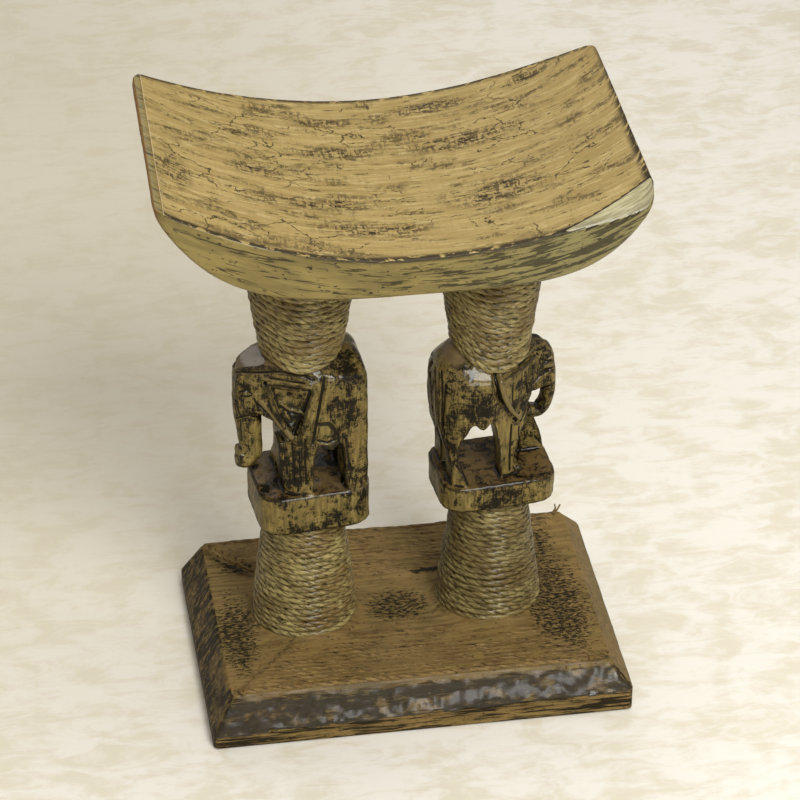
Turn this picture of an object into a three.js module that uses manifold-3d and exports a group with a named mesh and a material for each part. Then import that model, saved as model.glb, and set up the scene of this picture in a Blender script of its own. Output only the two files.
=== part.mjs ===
// Carved wooden stool: a dished seat on two elephant pillars over a bevelled base.
// The drums and necks of the pillars are wound with jute cord, and two fields of
// cord are glued on the base. Millimetres, +Z up, origin on the floor under the
// middle of the seat. The stool faces -Y.

import * as THREE from 'three';
import { mergeVertices } from 'three/addons/utils/BufferGeometryUtils.js';
import Module from 'manifold-3d';

// Seat board
const seatLength = 339;
const seatEndDepth = 193;
const seatFrontBow = 15.5;
const seatRearBow = 12.5;
const seatSplay = 2.2;
const seatCorner = 9;
const seatLowX = 5;
const seatDishHeight = 412.4;
const seatLeftTipHeight = 457;
const seatRightTipHeight = 444;
const seatRightRearLift = 8.5;
const seatUndersideHeight = 381.5;
const seatFlatX = 12;
const seatLeftEndThickness = 8;
const seatRightEndThickness = 14;
const seatTopEdge = 1.6;
const seatLowerEdge = 5;
const seatEndRound = 2.5;
const facetRun = 74;
const facetReturn = 16;
const facetDrop = 13;
const facetInset = 3;

// Base slab
const baseLength = 312;
const baseDepth = 213;
const baseHeight = 38.6;
const baseOffset = 13.5;
const baseEdgeLeft = 12.5;
const baseEdgeRight = 21;
const baseBevelX = 15.5;
const baseBevelY = 11.5;
const baseCorner = 4;
const baseSoftEdge = 1.5;

// Jute cord: the windings and the two fields glued on the base
const cordDiameter = 4.3;
const cordClearance = 0.3;
const fieldOuterLength = 276;
const fieldInnerLength = 168;
const fieldOuterEdge = 94;
const fieldInnerEdge = 36;
const fieldHeight = 4.4;
const fieldValley = 1.8;
const fieldRows = 12;

// Joinery hidden in the wood
const dowelDiameter = 16;
const dowelChamfer = 1.2;
const baseDowelLength = 40;
const baseDowelDepth = 20;
const seatDowelLength = 36;
const seatDowelDepth = 13;
const screwShankDiameter = 4.8;
const screwHeadDiameter = 9.2;
const screwHeadHeight = 3.2;
const screwLength = 58;
const screwTip = 7;
const screwRecess = 1.2;
const screwSpread = 19;
const fitClearance = 0.25;

// What every cut and buried end overruns by, and how far a touching face stands off
const overrun = 2;
const seatGap = 0.3;

// The left pillar. Its figure faces left.
const leftPillar = {
  name: 'left',
  x: -61,
  facing: -1,
  drumFootRadius: 40.5,
  drumTopRadius: 29.5,
  drumTurns: 19,
  turnDegrees: 5.5,
  plinthBottom: 135,
  plinthTop: 167,
  plinthLength: 82.5,
  plinthDepth: 67,
  plinthOffset: 4,
  plinthCorner: 15,
  plinthEdge: 1.5,
  neckOffset: 0,
  neckFootRadius: 31.4,
  neckHeadRadius: 46.5,
  neckTurns: 19,
  rumpReach: 43.4,
  browReach: 49.5,
  backHeight: 117,
  shoulderHeight: 99,
  halfWidth: 33,
  ridgeHalf: 8,
  legSlot: 16,
  legSlotHeight: 34,
  kneeHeight: 44,
  stepSide: -1,
  stepWidthShare: 0.78,
  footStep: 4,
  heelStep: 0,
  trunkHalfWidth: 10,
  earThickness: 6,
  earScoop: 2.6,
  earRim: 4.5,
};

// The right pillar, carved by hand again and so a little different, faces right.
const rightPillar = {
  name: 'right',
  x: 78.5,
  facing: 1,
  drumFootRadius: 40.5,
  drumTopRadius: 27.2,
  drumTurns: 20,
  turnDegrees: 5,
  plinthBottom: 140,
  plinthTop: 161.5,
  plinthLength: 86.5,
  plinthDepth: 65,
  plinthOffset: 0.8,
  plinthCorner: 16.5,
  plinthEdge: 1.5,
  neckOffset: -2.2,
  neckFootRadius: 29.8,
  neckHeadRadius: 44.5,
  neckTurns: 21,
  rumpReach: 44.4,
  browReach: 44.9,
  backHeight: 112,
  shoulderHeight: 88,
  halfWidth: 31,
  ridgeHalf: 7,
  legSlot: 14,
  legSlotHeight: 36,
  kneeHeight: 46,
  stepSide: 1,
  stepWidthShare: 0.8,
  footStep: 31,
  heelStep: 13,
  trunkHalfWidth: 9.5,
  earThickness: 6,
  earScoop: 1.4,
  earRim: 4,
};

// Side view of a figure: shares of its length from rump to brow, and of its height.
// back runs from the hind heel over the back and brow to the jaw, and chest from
// the jaw to the fore toe. arch goes from the fore heel round the belly to the hind
// toe.
leftPillar.side = {
  backShares: [
    [0.006, 0.34], [0, 0.56], [-0.004, 0.72], [0.008, 0.85], [0.045, 0.91], [0.12, 0.945],
    [0.3, 0.98], [0.5, 1], [0.6, 0.985], [0.68, 0.955], [0.77, 0.925], [0.84, 0.905],
    [0.92, 0.885], [0.975, 0.855], [1.006, 0.775], [1, 0.61],
  ],
  chestShares: [[0.94, 0.565], [0.85, 0.555], [0.74, 0.51], [0.68, 0.43], [0.65, 0.34], [0.643, 0.22], [0.643, 0.1]],
  toeShares: [[0.665, 0.05], [0.665, 0]],
  archShares: [[0.45, 0.12], [0.448, 0.25], [0.42, 0.35], [0.365, 0.353], [0.315, 0.315], [0.273, 0.34],
    [0.232, 0.36], [0.206, 0.28], [0.206, 0.12]],
  foreHeelShare: 0.462,
  hindToeShare: 0.178,
  hindHeelShare: 0.01,
};
rightPillar.side = {
  backShares: [
    [0.088, 0.18], [0.05, 0.277], [0.016, 0.4], [-0.008, 0.52], [-0.01, 0.67], [0.002, 0.8],
    [0.044, 0.893], [0.105, 0.955], [0.19, 0.985], [0.35, 1], [0.55, 1], [0.72, 0.946],
    [0.833, 0.9], [0.9, 0.893], [0.965, 0.868], [1, 0.815], [1.008, 0.714], [1.004, 0.6],
  ],
  chestShares: [[0.93, 0.585], [0.86, 0.58], [0.8, 0.56], [0.765, 0.5], [0.75, 0.4], [0.7, 0.3], [0.655, 0.2],
    [0.64, 0.1]],
  toeShares: [[0.66, 0.05], [0.7, 0.035], [0.7, 0]],
  archShares: [[0.505, 0.12], [0.49, 0.26], [0.462, 0.38], [0.425, 0.472], [0.39, 0.443], [0.35, 0.422],
    [0.305, 0.442], [0.265, 0.476], [0.2, 0.4], [0.155, 0.32], [0.145, 0.22], [0.17, 0.12]],
  foreHeelShare: 0.52,
  hindToeShare: 0.225,
  hindHeelShare: 0.1,
};

// Envelope of a figure along its length: share of the length, then of the half width,
// of the height of its shoulder line, of its back and, low down, of the width there.
leftPillar.envelopeShares = [
  [-0.03, 0.66, 0.94, 0.85, 1],
  [0.02, 0.86, 0.98, 0.9, 1],
  [0.12, 0.97, 0.98, 0.95, 1],
  [0.3, 1, 0.99, 0.99, 1],
  [0.47, 0.98, 1, 1, 0.98],
  [0.575, 0.82, 1.03, 0.99, 1.07],
  [0.68, 0.67, 1.06, 0.955, 1.08],
  [0.77, 0.53, 1.075, 0.925, 1.05],
  [0.865, 0.41, 1.075, 0.905, 1],
  [0.95, 0.29, 1.04, 0.875, 1],
  [1.025, 0.18, 0.95, 0.82, 1],
];
rightPillar.envelopeShares = [
  [-0.03, 0.42, 0.98, 0.82, 1],
  [0.038, 0.64, 1.03, 0.88, 1],
  [0.105, 0.82, 1.03, 0.95, 1],
  [0.217, 0.97, 1.01, 0.98, 1],
  [0.385, 1, 1, 1, 0.92],
  [0.447, 0.98, 1, 1, 0.88],
  [0.553, 0.79, 1.04, 0.99, 0.92],
  [0.665, 0.61, 1.1, 0.95, 1.02],
  [0.744, 0.49, 1.13, 0.915, 1.05],
  [0.811, 0.4, 1.14, 0.895, 1],
  [0.9, 0.33, 1.13, 0.885, 1],
  [0.968, 0.26, 1.07, 0.86, 1],
  [1.015, 0.17, 0.96, 0.8, 1],
];

// A trunk's route: share of the figure's length and height, then the trunk's own
// depth and width there as shares of trunkHalfWidth. The left one hangs straight and
// turns its tip forward. The right one curls back to the chest round a small hole.
leftPillar.trunkShares = [
  [0.87, 0.773, 1.1, 1.15],
  [0.905, 0.64, 1.1, 1.15],
  [0.9, 0.504, 1.05, 1.05],
  [0.891, 0.378, 0.93, 1],
  [0.88, 0.27, 0.86, 0.95],
  [0.885, 0.2, 0.86, 0.92],
  [0.915, 0.176, 0.9, 0.9],
  [0.955, 0.18, 0.86, 0.84],
  [0.985, 0.187, 0.78, 0.78],
];
rightPillar.trunkShares = [
  [0.93, 0.786, 0.8, 1.1],
  [0.96, 0.643, 0.66, 1.05],
  [0.97, 0.54, 0.55, 0.95],
  [0.962, 0.46, 0.5, 0.86],
  [0.938, 0.405, 0.53, 0.8],
  [0.893, 0.368, 0.58, 0.76],
  [0.84, 0.362, 0.6, 0.72],
  [0.79, 0.38, 0.54, 0.66],
];

// An ear's outline in the plane of the side of the head, as shares of the figure's
// length and height. Its root stands off the middle plane by a share of the half
// width, and so does its tail.
leftPillar.ear = {
  rootShare: 0.792,
  rootWidthShare: 0.56,
  tailShare: 0.439,
  tailWidthShare: 1.02,
  outlineShares: [[0.792, 0.815], [0.616, 0.815], [0.439, 0.81], [0.46, 0.7], [0.5, 0.56], [0.574, 0.395],
    [0.668, 0.504], [0.751, 0.622]],
};
rightPillar.ear = {
  rootShare: 0.8,
  rootWidthShare: 0.43,
  tailShare: 0.447,
  tailWidthShare: 1.02,
  outlineShares: [[0.8, 0.885], [0.643, 0.838], [0.452, 0.81], [0.475, 0.68], [0.53, 0.575], [0.6, 0.48],
    [0.65, 0.435], [0.7, 0.5], [0.78, 0.66]],
};

// The front of the foreleg that steps out: shares of its height, then of its step
leftPillar.stepShares = [[0.05, 0.1], [0.23, 0.5], [0.48, 1], [1, 1]];
rightPillar.stepShares = [[0.05, 0.89], [0.2, 0.86], [0.36, 0.8], [1, 0.45]];

// Powers that set the sweep of a curve
const dishPower = 2.05;
const undersidePower = 4.7;
const leftBowPower = 2;
const rightBowPower = 4;
const mergeTolerance = 1e-4;

// Fineness of the round forms
const seatStations = 26;
const edgeSteps = 3;
const cornerSteps = 5;
const drumSides = 30;
const dowelSides = 18;
const screwSides = 12;
const trunkSides = 12;
const windingSteps = 14;
const windingSides = 4;
const outlineSteps = 2;
const ribSteps = 4;

const wood = (color, roughness) => new THREE.MeshStandardMaterial({ color, roughness, metalness: 0 });
const materials = {
  seat: wood(0xb08e4e, 0.5),
  base: wood(0x5b432c, 0.45),
  pillar: wood(0x6a5a30, 0.38),
  cord: wood(0x77694a, 0.8),
  dowel: wood(0xc9a877, 0.7),
  screw: new THREE.MeshStandardMaterial({ color: 0x9a9486, roughness: 0.35, metalness: 1 }),
};

const wasm = await Module();
wasm.setup();

// A closed geometry as a solid that can be joined and cut
function solidOf(geometry) {
  const bare = geometry.clone();
  bare.deleteAttribute('normal');
  bare.deleteAttribute('uv');
  const merged = mergeVertices(bare, mergeTolerance);
  return new wasm.Manifold(new wasm.Mesh({
    numProp: 3,
    vertProperties: new Float32Array(merged.attributes.position.array),
    triVerts: new Uint32Array(merged.index.array),
  }));
}

// A solid as a geometry again
function geometryOf(solid) {
  const mesh = solid.getMesh();
  const geometry = new THREE.BufferGeometry();
  geometry.setAttribute('position', new THREE.BufferAttribute(mesh.vertProperties, 3));
  geometry.setIndex(new THREE.BufferAttribute(mesh.triVerts, 1));
  geometry.computeVertexNormals();
  return geometry;
}

// Six times the volume inside a triangle mesh, negative where its faces point inwards
function signedVolume(points, faces) {
  let sum = 0;
  for (const [a, b, c] of faces) {
    sum += points[a].dot(new THREE.Vector3().crossVectors(points[b], points[c]));
  }
  return sum;
}

// A closed body through rings of the same number of points, with a flat cap at each end
function loft(rings) {
  const count = rings[0].length;
  const points = rings.flat();
  const faces = [];
  for (let r = 0; r + 1 < rings.length; r += 1) {
    for (let i = 0; i < count; i += 1) {
      const a = r * count + i;
      const b = r * count + ((i + 1) % count);
      faces.push([a, b, b + count], [a, b + count, a + count]);
    }
  }
  const last = (rings.length - 1) * count;
  for (let i = 1; i + 1 < count; i += 1) {
    faces.push([0, i + 1, i], [last, last + i, last + i + 1]);
  }
  const outward = signedVolume(points, faces) > 0;
  const geometry = new THREE.BufferGeometry();
  geometry.setAttribute('position', new THREE.Float32BufferAttribute(points.flatMap((p) => p.toArray()), 3));
  geometry.setIndex(faces.flatMap(([a, b, c]) => (outward ? [a, b, c] : [a, c, b])));
  geometry.computeVertexNormals();
  return geometry;
}

// A body of revolution about +Z through [radius, height] pairs
function turned(profile, sides) {
  const points = profile.map(([radius, height]) => new THREE.Vector2(radius, height));
  return new THREE.LatheGeometry(points, sides).rotateX(Math.PI / 2);
}

// The height of the seat's top at x: a dish that is lowest near the middle. side is -1
// at the front edge and 1 at the rear edge, which is lifted at the right end.
function seatTop(x, side) {
  const left = x < seatLowX;
  const reach = left ? seatLowX + seatLength / 2 : seatLength / 2 - seatLowX;
  const tip = left ? seatLeftTipHeight : seatRightTipHeight + (side > 0 ? seatRightRearLift : 0);
  return seatDishHeight + (tip - seatDishHeight) * (Math.abs(x - seatLowX) / reach) ** dishPower;
}

// The height of the seat's underside at x: flat in the middle, swept up at the ends
function seatUnderside(x) {
  const left = x < seatFlatX;
  const reach = left ? seatFlatX + seatLength / 2 : seatLength / 2 - seatFlatX;
  const end = left ? seatLeftTipHeight - seatLeftEndThickness : seatRightTipHeight - seatRightEndThickness;
  const rise = end - seatUndersideHeight;
  return seatUndersideHeight + rise * (Math.abs(x - seatFlatX) / reach) ** undersidePower;
}

// How far the seat reaches to the front (side -1) or the rear (side 1) at x: the long
// edges bow out between the ends, and the four corners are rounded off.
function seatReach(x, side) {
  const power = x < 0 ? leftBowPower : rightBowPower;
  const bow = side < 0 ? seatFrontBow : seatRearBow;
  const past = Math.max(0, Math.abs(x) - seatLength / 2 + seatCorner) / seatCorner;
  const corner = seatCorner * (1 - Math.sqrt(Math.max(0, 1 - past ** 2)));
  return seatEndDepth / 2 + bow * (1 - Math.abs(x / (seatLength / 2)) ** power) - corner;
}

// Places along the seat, closer together towards its ends
function seatPlaces() {
  const places = [];
  for (let i = 0; i <= seatStations; i += 1) {
    places.push(-Math.cos((Math.PI * i) / seatStations) * (seatLength / 2));
  }
  return places;
}

// The seat's section at x, drawn in by the given amount. The ends splay, so that the
// front edge is a little longer than the rear edge.
function seatRing(x, inset) {
  const splay = (seatSplay * x) / (seatLength / 2) / (seatEndDepth / 2);
  const bottom = seatUnderside(x) + inset;
  const half = (side) => {
    const reach = seatReach(x, side) - inset;
    const top = seatTop(x, side) - inset;
    const upper = Math.min(seatTopEdge, (top - bottom) / 4);
    const lower = Math.min(seatLowerEdge, (top - bottom) / 2);
    const edge = [[reach - upper, top], [reach, top - upper]];
    for (let i = 0; i <= edgeSteps; i += 1) {
      const turn = (Math.PI / 2) * (i / edgeSteps);
      edge.push([reach - lower + lower * Math.cos(turn), bottom + lower - lower * Math.sin(turn)]);
    }
    return edge.map(([y, z]) => new THREE.Vector3(x - splay * side * y, side * y, z));
  };
  return [...half(1), ...half(-1).reverse()];
}

// A block whose lower face lies in the plane through three points, for cutting a facet
function facetCutter(a, b, c, size) {
  const normal = new THREE.Vector3().subVectors(b, a).cross(new THREE.Vector3().subVectors(c, a)).normalize();
  if (normal.z < 0) normal.negate();
  const turn = new THREE.Quaternion().setFromUnitVectors(new THREE.Vector3(0, 0, 1), normal);
  const middle = new THREE.Vector3().add(a).add(b).add(c).divideScalar(3);
  return new THREE.BoxGeometry(size, size, size)
    .translate(0, 0, size / 2)
    .applyQuaternion(turn)
    .translate(middle.x, middle.y, middle.z);
}

// A dowel along +Z with chamfered ends, its lower end at the given height
function dowel(length, height) {
  const radius = dowelDiameter / 2;
  return turned([
    [0, height],
    [radius - dowelChamfer, height],
    [radius, height + dowelChamfer],
    [radius, height + length - dowelChamfer],
    [radius - dowelChamfer, height + length],
    [0, height + length],
  ], dowelSides);
}

// The hole a dowel is glued in, between two heights
function dowelSocket(low, high) {
  const radius = dowelDiameter / 2 + fitClearance;
  return turned([[0, low], [radius, low], [radius, high], [0, high]], dowelSides);
}

// The lower ends of the seat dowels follow the underside of the seat above each pillar
const seatDowelTop = (x) => seatUnderside(x) + seatDowelDepth;

function makeSeat() {
  const inner = seatPlaces().slice(1, -1);
  const end = seatLength / 2;
  const rings = [
    seatRing(-end, seatEndRound),
    seatRing(-end + seatEndRound, 0),
    ...inner.filter((x) => Math.abs(x) < end - seatEndRound * 2).map((x) => seatRing(x, 0)),
    seatRing(end - seatEndRound, 0),
    seatRing(end, seatEndRound),
  ];
  let solid = solidOf(loft(rings));
  const start = end - facetRun;
  const corner = seatEndDepth / 2;
  const run = new THREE.Vector3(start, -seatReach(start, -1), seatTop(start, -1));
  const back = new THREE.Vector3(end, facetReturn - corner, seatTop(end, -1));
  const low = new THREE.Vector3(end - facetInset, -corner, seatTop(end, -1) - facetDrop);
  solid = solid.subtract(solidOf(facetCutter(run, back, low, seatLength)));
  for (const pillar of [leftPillar, rightPillar]) {
    const top = seatDowelTop(neckX(pillar)) + fitClearance;
    const socket = dowelSocket(seatUndersideHeight - seatDowelLength, top).translate(neckX(pillar), 0, 0);
    solid = solid.subtract(solidOf(socket));
  }
  return geometryOf(solid);
}

// A rectangle with rounded corners about (x, 0), as a ring at the heights that heightAt gives
function roundedRing(x, halfLength, halfDepth, corner, heightAt) {
  const ring = [];
  for (let quarter = 0; quarter < 4; quarter += 1) {
    for (let i = 0; i < cornerSteps; i += 1) {
      const turn = (Math.PI / 2) * (quarter + i / (cornerSteps - 1));
      const signX = quarter === 0 || quarter === 3 ? 1 : -1;
      const signY = quarter < 2 ? 1 : -1;
      const px = x + signX * (halfLength - corner) + corner * Math.cos(turn);
      const py = signY * (halfDepth - corner) + corner * Math.sin(turn);
      ring.push(new THREE.Vector3(px, py, heightAt(px)));
    }
  }
  return ring;
}

// The screw's outline, grown by a clearance and with its head run out to a depth
// below it, is also the hole that it needs.
function screwShape(grow, below) {
  const shank = screwShankDiameter / 2 + grow;
  const head = screwHeadDiameter / 2 + grow;
  const foot = screwRecess;
  const end = screwRecess + screwLength;
  const profile = [[head, foot], [shank, foot + screwHeadHeight], [shank, end - screwTip], [0, end + grow]];
  if (below > 0) profile.unshift([head, foot - below]);
  profile.unshift([0, foot - below]);
  return turned(profile, screwSides);
}

const screwPlaces = [
  { name: 'front', y: -screwSpread },
  { name: 'rear', y: screwSpread },
];

function makeBase() {
  const halfX = baseLength / 2;
  const halfY = baseDepth / 2;
  const slope = (baseEdgeRight - baseEdgeLeft) / baseLength;
  const edgeAt = (x) => baseEdgeLeft + slope * (x - baseOffset + halfX);
  const topX = halfX - baseBevelX;
  const topY = halfY - baseBevelY;
  const rings = [
    roundedRing(baseOffset, halfX - baseSoftEdge, halfY - baseSoftEdge, baseCorner, () => 0),
    roundedRing(baseOffset, halfX, halfY, baseCorner, () => baseSoftEdge),
    roundedRing(baseOffset, halfX, halfY, baseCorner, (x) => edgeAt(x) - baseSoftEdge),
    roundedRing(baseOffset, halfX - baseSoftEdge, halfY - baseSoftEdge, baseCorner, (x) => edgeAt(x) + baseSoftEdge),
    roundedRing(baseOffset, topX + baseSoftEdge, topY + baseSoftEdge, baseCorner, () => baseHeight - baseSoftEdge),
    roundedRing(baseOffset, topX, topY, baseCorner, () => baseHeight),
  ];
  let solid = solidOf(loft(rings));
  for (const pillar of [leftPillar, rightPillar]) {
    const low = baseHeight - baseDowelDepth - fitClearance;
    const socket = dowelSocket(low, baseHeight + overrun).translate(pillar.x, 0, 0);
    solid = solid.subtract(solidOf(socket));
    for (const place of screwPlaces) {
      const hole = screwShape(fitClearance, screwRecess + overrun).translate(pillar.x, place.y, 0);
      solid = solid.subtract(solidOf(hole));
    }
  }
  return geometryOf(solid);
}

// How far the flats of a wound polygon dip inside its corners
const chordDip = (radius) => radius * (1 - Math.cos(Math.PI / windingSteps));

// The wooden core inside a winding of the given outer radius
const coreRadius = (outer) => outer - cordDiameter - cordClearance - chordDip(outer);

// The outer radius of the winding on the neck, which flares up from the back to the seat
function neckRadius(pillar, z) {
  const foot = pillar.plinthTop + pillar.backHeight;
  const share = Math.max(0, (z - foot) / (seatUndersideHeight - foot));
  return pillar.neckFootRadius + (pillar.neckHeadRadius - pillar.neckFootRadius) * share;
}

// The outer radius of the winding on the drum, which narrows up to the plinth
function drumRadius(pillar, z) {
  const share = (z - baseHeight) / (pillar.plinthBottom - baseHeight);
  return pillar.drumFootRadius + (pillar.drumTopRadius - pillar.drumFootRadius) * share;
}

// A figure's forward place and height from shares, in the frame of its pillar with the
// figure facing +X
const figureX = (pillar, share) => share * (pillar.rumpReach + pillar.browReach) - pillar.rumpReach;
const figureZ = (pillar, share) => pillar.plinthTop + share * pillar.backHeight;

// Where the neck's axis stands
const neckX = (pillar) => pillar.x + pillar.neckOffset;

// How far a figure facing +X is turned about its pillar's axis
const figureTurn = (pillar) => THREE.MathUtils.degToRad(pillar.turnDegrees + (pillar.facing < 0 ? 180 : 0));

// A row of a table whose first column rises, read between its lines
function rowAt(table, at) {
  const k = table.findIndex((row, i) => i + 1 < table.length && row[0] <= at && at < table[i + 1][0]);
  const mix = (at - table[k][0]) / (table[k + 1][0] - table[k][0]);
  return table[k].map((value, i) => value + (table[k + 1][i] - value) * mix);
}

// The height of the figure's back at a place in the frame of its pillar
function backAt(pillar, x, y) {
  const ahead = new THREE.Vector2(x, y).rotateAround(new THREE.Vector2(), -figureTurn(pillar));
  const along = (ahead.x + pillar.rumpReach) / (pillar.rumpReach + pillar.browReach);
  const sawn = figureZ(pillar, rowAt(pillar.side.backShares, along)[1]);
  const [, width, shoulder, back] = rowAt(pillar.envelopeShares, along);
  const ridge = figureZ(pillar, back) + overrun;
  const eave = pillar.plinthTop + pillar.shoulderHeight * shoulder;
  const across = (Math.abs(ahead.y) / width - pillar.ridgeHalf) / (pillar.halfWidth - pillar.ridgeHalf);
  return Math.min(sawn, ridge - (ridge - eave) * Math.min(1, Math.max(0, across)));
}

// The figure's side view sawn through the billet, with softened edges
function sawnFigure(pillar) {
  const { side } = pillar;
  const foot = pillar.plinthTop - overrun;
  const at = ([f, h]) => new THREE.Vector2(figureX(pillar, f), figureZ(pillar, h));
  const outline = new THREE.Shape();
  outline.moveTo(figureX(pillar, side.hindHeelShare), foot);
  const [heel, ...over] = side.backShares.map(at);
  outline.lineTo(heel.x, heel.y);
  outline.splineThru(over);
  outline.splineThru(side.chestShares.map(at));
  for (const toe of side.toeShares.map(at)) outline.lineTo(toe.x, toe.y);
  outline.lineTo(at(side.toeShares[side.toeShares.length - 1]).x, foot);
  outline.lineTo(figureX(pillar, side.foreHeelShare), foot);
  const [first, ...arch] = side.archShares.map(at);
  outline.lineTo(first.x, first.y);
  outline.splineThru(arch);
  outline.lineTo(figureX(pillar, side.hindToeShare), foot);
  const soft = pillar.plinthEdge;
  return new THREE.ExtrudeGeometry(outline, {
    depth: 2 * (pillar.halfWidth - soft),
    bevelEnabled: true,
    bevelSize: 0,
    bevelThickness: soft,
    bevelOffset: 0,
    bevelSegments: 1,
    curveSegments: outlineSteps,
  }).translate(0, 0, soft - pillar.halfWidth).rotateX(Math.PI / 2);
}

// The rounded and tapered block that the sawn figure is trimmed to
function figureEnvelope(pillar) {
  const foot = pillar.plinthTop - 2 * overrun;
  const rings = pillar.envelopeShares.map(([along, width, shoulder, back, footing]) => {
    const x = figureX(pillar, along);
    const half = pillar.halfWidth * width;
    const eave = pillar.plinthTop + pillar.shoulderHeight * shoulder;
    const top = figureZ(pillar, back) + overrun;
    const ridge = pillar.ridgeHalf * width;
    const waist = (foot + eave) / 2;
    const side = [[ridge, top], [half, eave], [half * footing, waist], [half * footing, foot]];
    const mirrored = side.map(([y, z]) => [-y, z]).reverse();
    return [...side, ...mirrored].map(([y, z]) => new THREE.Vector3(x, y, z));
  });
  return loft(rings);
}

// A round-topped slot along the figure that parts its near legs from its far ones
function legSlot(pillar) {
  const half = pillar.legSlot / 2;
  const foot = pillar.plinthTop - 2 * overrun;
  const spring = pillar.plinthTop + pillar.legSlotHeight - half;
  const outline = new THREE.Shape();
  outline.moveTo(-half, foot);
  outline.lineTo(half, foot);
  outline.lineTo(half, spring);
  outline.absarc(0, spring, half, 0, Math.PI, false);
  outline.closePath();
  const length = pillar.rumpReach + pillar.browReach + 2 * overrun;
  return new THREE.ExtrudeGeometry(outline, { depth: length, bevelEnabled: false, curveSegments: 6 })
    .rotateX(Math.PI / 2)
    .rotateZ(Math.PI / 2)
    .translate(-pillar.rumpReach - overrun, 0, 0);
}

// A slanting block on the side of the foreleg that steps out, between two places along
// the figure. At the foot each of its ends has run ahead by its own reach.
function legBlock(pillar, back, backRun, front, frontRun, inner, outer) {
  const way = pillar.stepSide * pillar.facing;
  const level = (z, ahead) => {
    const low = back + backRun * ahead;
    const high = front + frontRun * ahead;
    return [[low, outer], [high, outer], [high, inner], [low, inner]]
      .map(([x, y]) => new THREE.Vector3(x, y * way, z));
  };
  const climb = pillar.stepShares.map(([height, ahead]) => level(
    pillar.plinthTop + pillar.kneeHeight * height, ahead));
  return loft([level(pillar.plinthTop - overrun, pillar.stepShares[0][1]), ...climb]);
}

// The foreleg that steps out ahead of the other one
function steppingLeg(pillar) {
  const reach = figureX(pillar, pillar.side.toeShares[0][0]);
  const heel = figureX(pillar, pillar.side.foreHeelShare) + pillar.heelStep;
  const inner = pillar.legSlot / 2;
  const outer = pillar.halfWidth * pillar.stepWidthShare - pillar.plinthEdge;
  return legBlock(pillar, (heel + reach) / 2, 0, reach, pillar.footStep, inner, outer);
}

// What is cut away behind the heel of the foreleg that steps out
function heelCutter(pillar) {
  const heel = figureX(pillar, pillar.side.foreHeelShare);
  return legBlock(pillar, heel - pillar.heelStep, 0, heel, pillar.heelStep, 0, pillar.halfWidth + overrun);
}

// The trunk: oval rings along its route in the middle plane
function trunk(pillar) {
  const route = pillar.trunkShares.map(([f, h]) => new THREE.Vector3(figureX(pillar, f), 0, figureZ(pillar, h)));
  const curve = new THREE.CatmullRomCurve3(route);
  const count = (route.length - 1) * 2;
  const rings = [];
  for (let i = 0; i <= count; i += 1) {
    const share = i / count;
    const place = share * (route.length - 1);
    const k = Math.min(Math.floor(place), route.length - 2);
    const mix = place - k;
    const near = pillar.trunkShares[k];
    const next = pillar.trunkShares[k + 1];
    const deep = (near[2] + (next[2] - near[2]) * mix) * pillar.trunkHalfWidth;
    const wide = (near[3] + (next[3] - near[3]) * mix) * pillar.trunkHalfWidth;
    const centre = curve.getPoint(share);
    const along = curve.getTangent(share);
    const ahead = new THREE.Vector3(-along.z, 0, along.x);
    const ring = [];
    for (let s = 0; s < trunkSides; s += 1) {
      const turn = (2 * Math.PI * s) / trunkSides;
      ring.push(centre.clone().addScaledVector(ahead, deep * Math.cos(turn))
        .add(new THREE.Vector3(0, wide * Math.sin(turn), 0)));
    }
    rings.push(ring);
  }
  return loft(rings);
}

// One ear on the near side (side = -1) or the far side: a leaf that stands off the head,
// scooped inside its rim
function ear(pillar, side) {
  const { ear: shape } = pillar;
  const rootX = figureX(pillar, shape.rootShare);
  const tailX = figureX(pillar, shape.tailShare);
  const rootY = pillar.halfWidth * shape.rootWidthShare;
  const tailY = pillar.halfWidth * shape.tailWidthShare;
  const yaw = Math.atan2(tailY - rootY, rootX - tailX);
  const points = shape.outlineShares.map(([f, h]) => new THREE.Vector2(
    (figureX(pillar, f) - rootX) / Math.cos(yaw),
    figureZ(pillar, h),
  ));
  const middle = points.reduce((sum, p) => sum.add(p), new THREE.Vector2()).divideScalar(points.length);
  const drawn = (inset) => points.map((p) => {
    const way = new THREE.Vector2().subVectors(p, middle);
    return middle.clone().addScaledVector(way, 1 - inset / way.length());
  });
  const plate = (inset, low, high) => {
    const outline = new THREE.Shape();
    const [first, ...rest] = drawn(inset);
    outline.moveTo(first.x, first.y);
    outline.splineThru([...rest, first]);
    return new THREE.ExtrudeGeometry(outline, { depth: high - low, bevelEnabled: false, curveSegments: outlineSteps })
      .translate(0, 0, low);
  };
  const proud = pillar.earThickness / 2;
  const leaf = solidOf(plate(0, -2 * pillar.earThickness, proud));
  const bowl = solidOf(plate(pillar.earRim, proud - pillar.earScoop, proud + overrun));
  const solid = leaf.subtract(bowl);
  const placed = geometryOf(solid)
    .rotateX(Math.PI / 2)
    .rotateZ(yaw)
    .translate(rootX, -rootY, 0);
  return side < 0 ? placed : mirroredY(placed);
}

// The same body on the other side of the middle plane
function mirroredY(geometry) {
  const copy = geometry.clone();
  const { position } = copy.attributes;
  for (let i = 0; i < position.count; i += 1) position.setY(i, -position.getY(i));
  const index = Array.from(copy.index.array);
  const flipped = [];
  for (let i = 0; i < index.length; i += 3) flipped.push(index[i], index[i + 2], index[i + 1]);
  copy.setIndex(flipped);
  return copy;
}

// Everything above the seat's underside at a pillar, less the standing gap
function seatCutter(pillar) {
  const rings = seatPlaces().map((x) => {
    const low = seatUnderside(x) - seatGap;
    const high = low + 3 * seatDowelDepth;
    const half = seatEndDepth / 2;
    return [[-half, low], [half, low], [half, high], [-half, high]]
      .map(([y, z]) => new THREE.Vector3(x - pillar.x, y, z));
  });
  return loft(rings);
}

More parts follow.
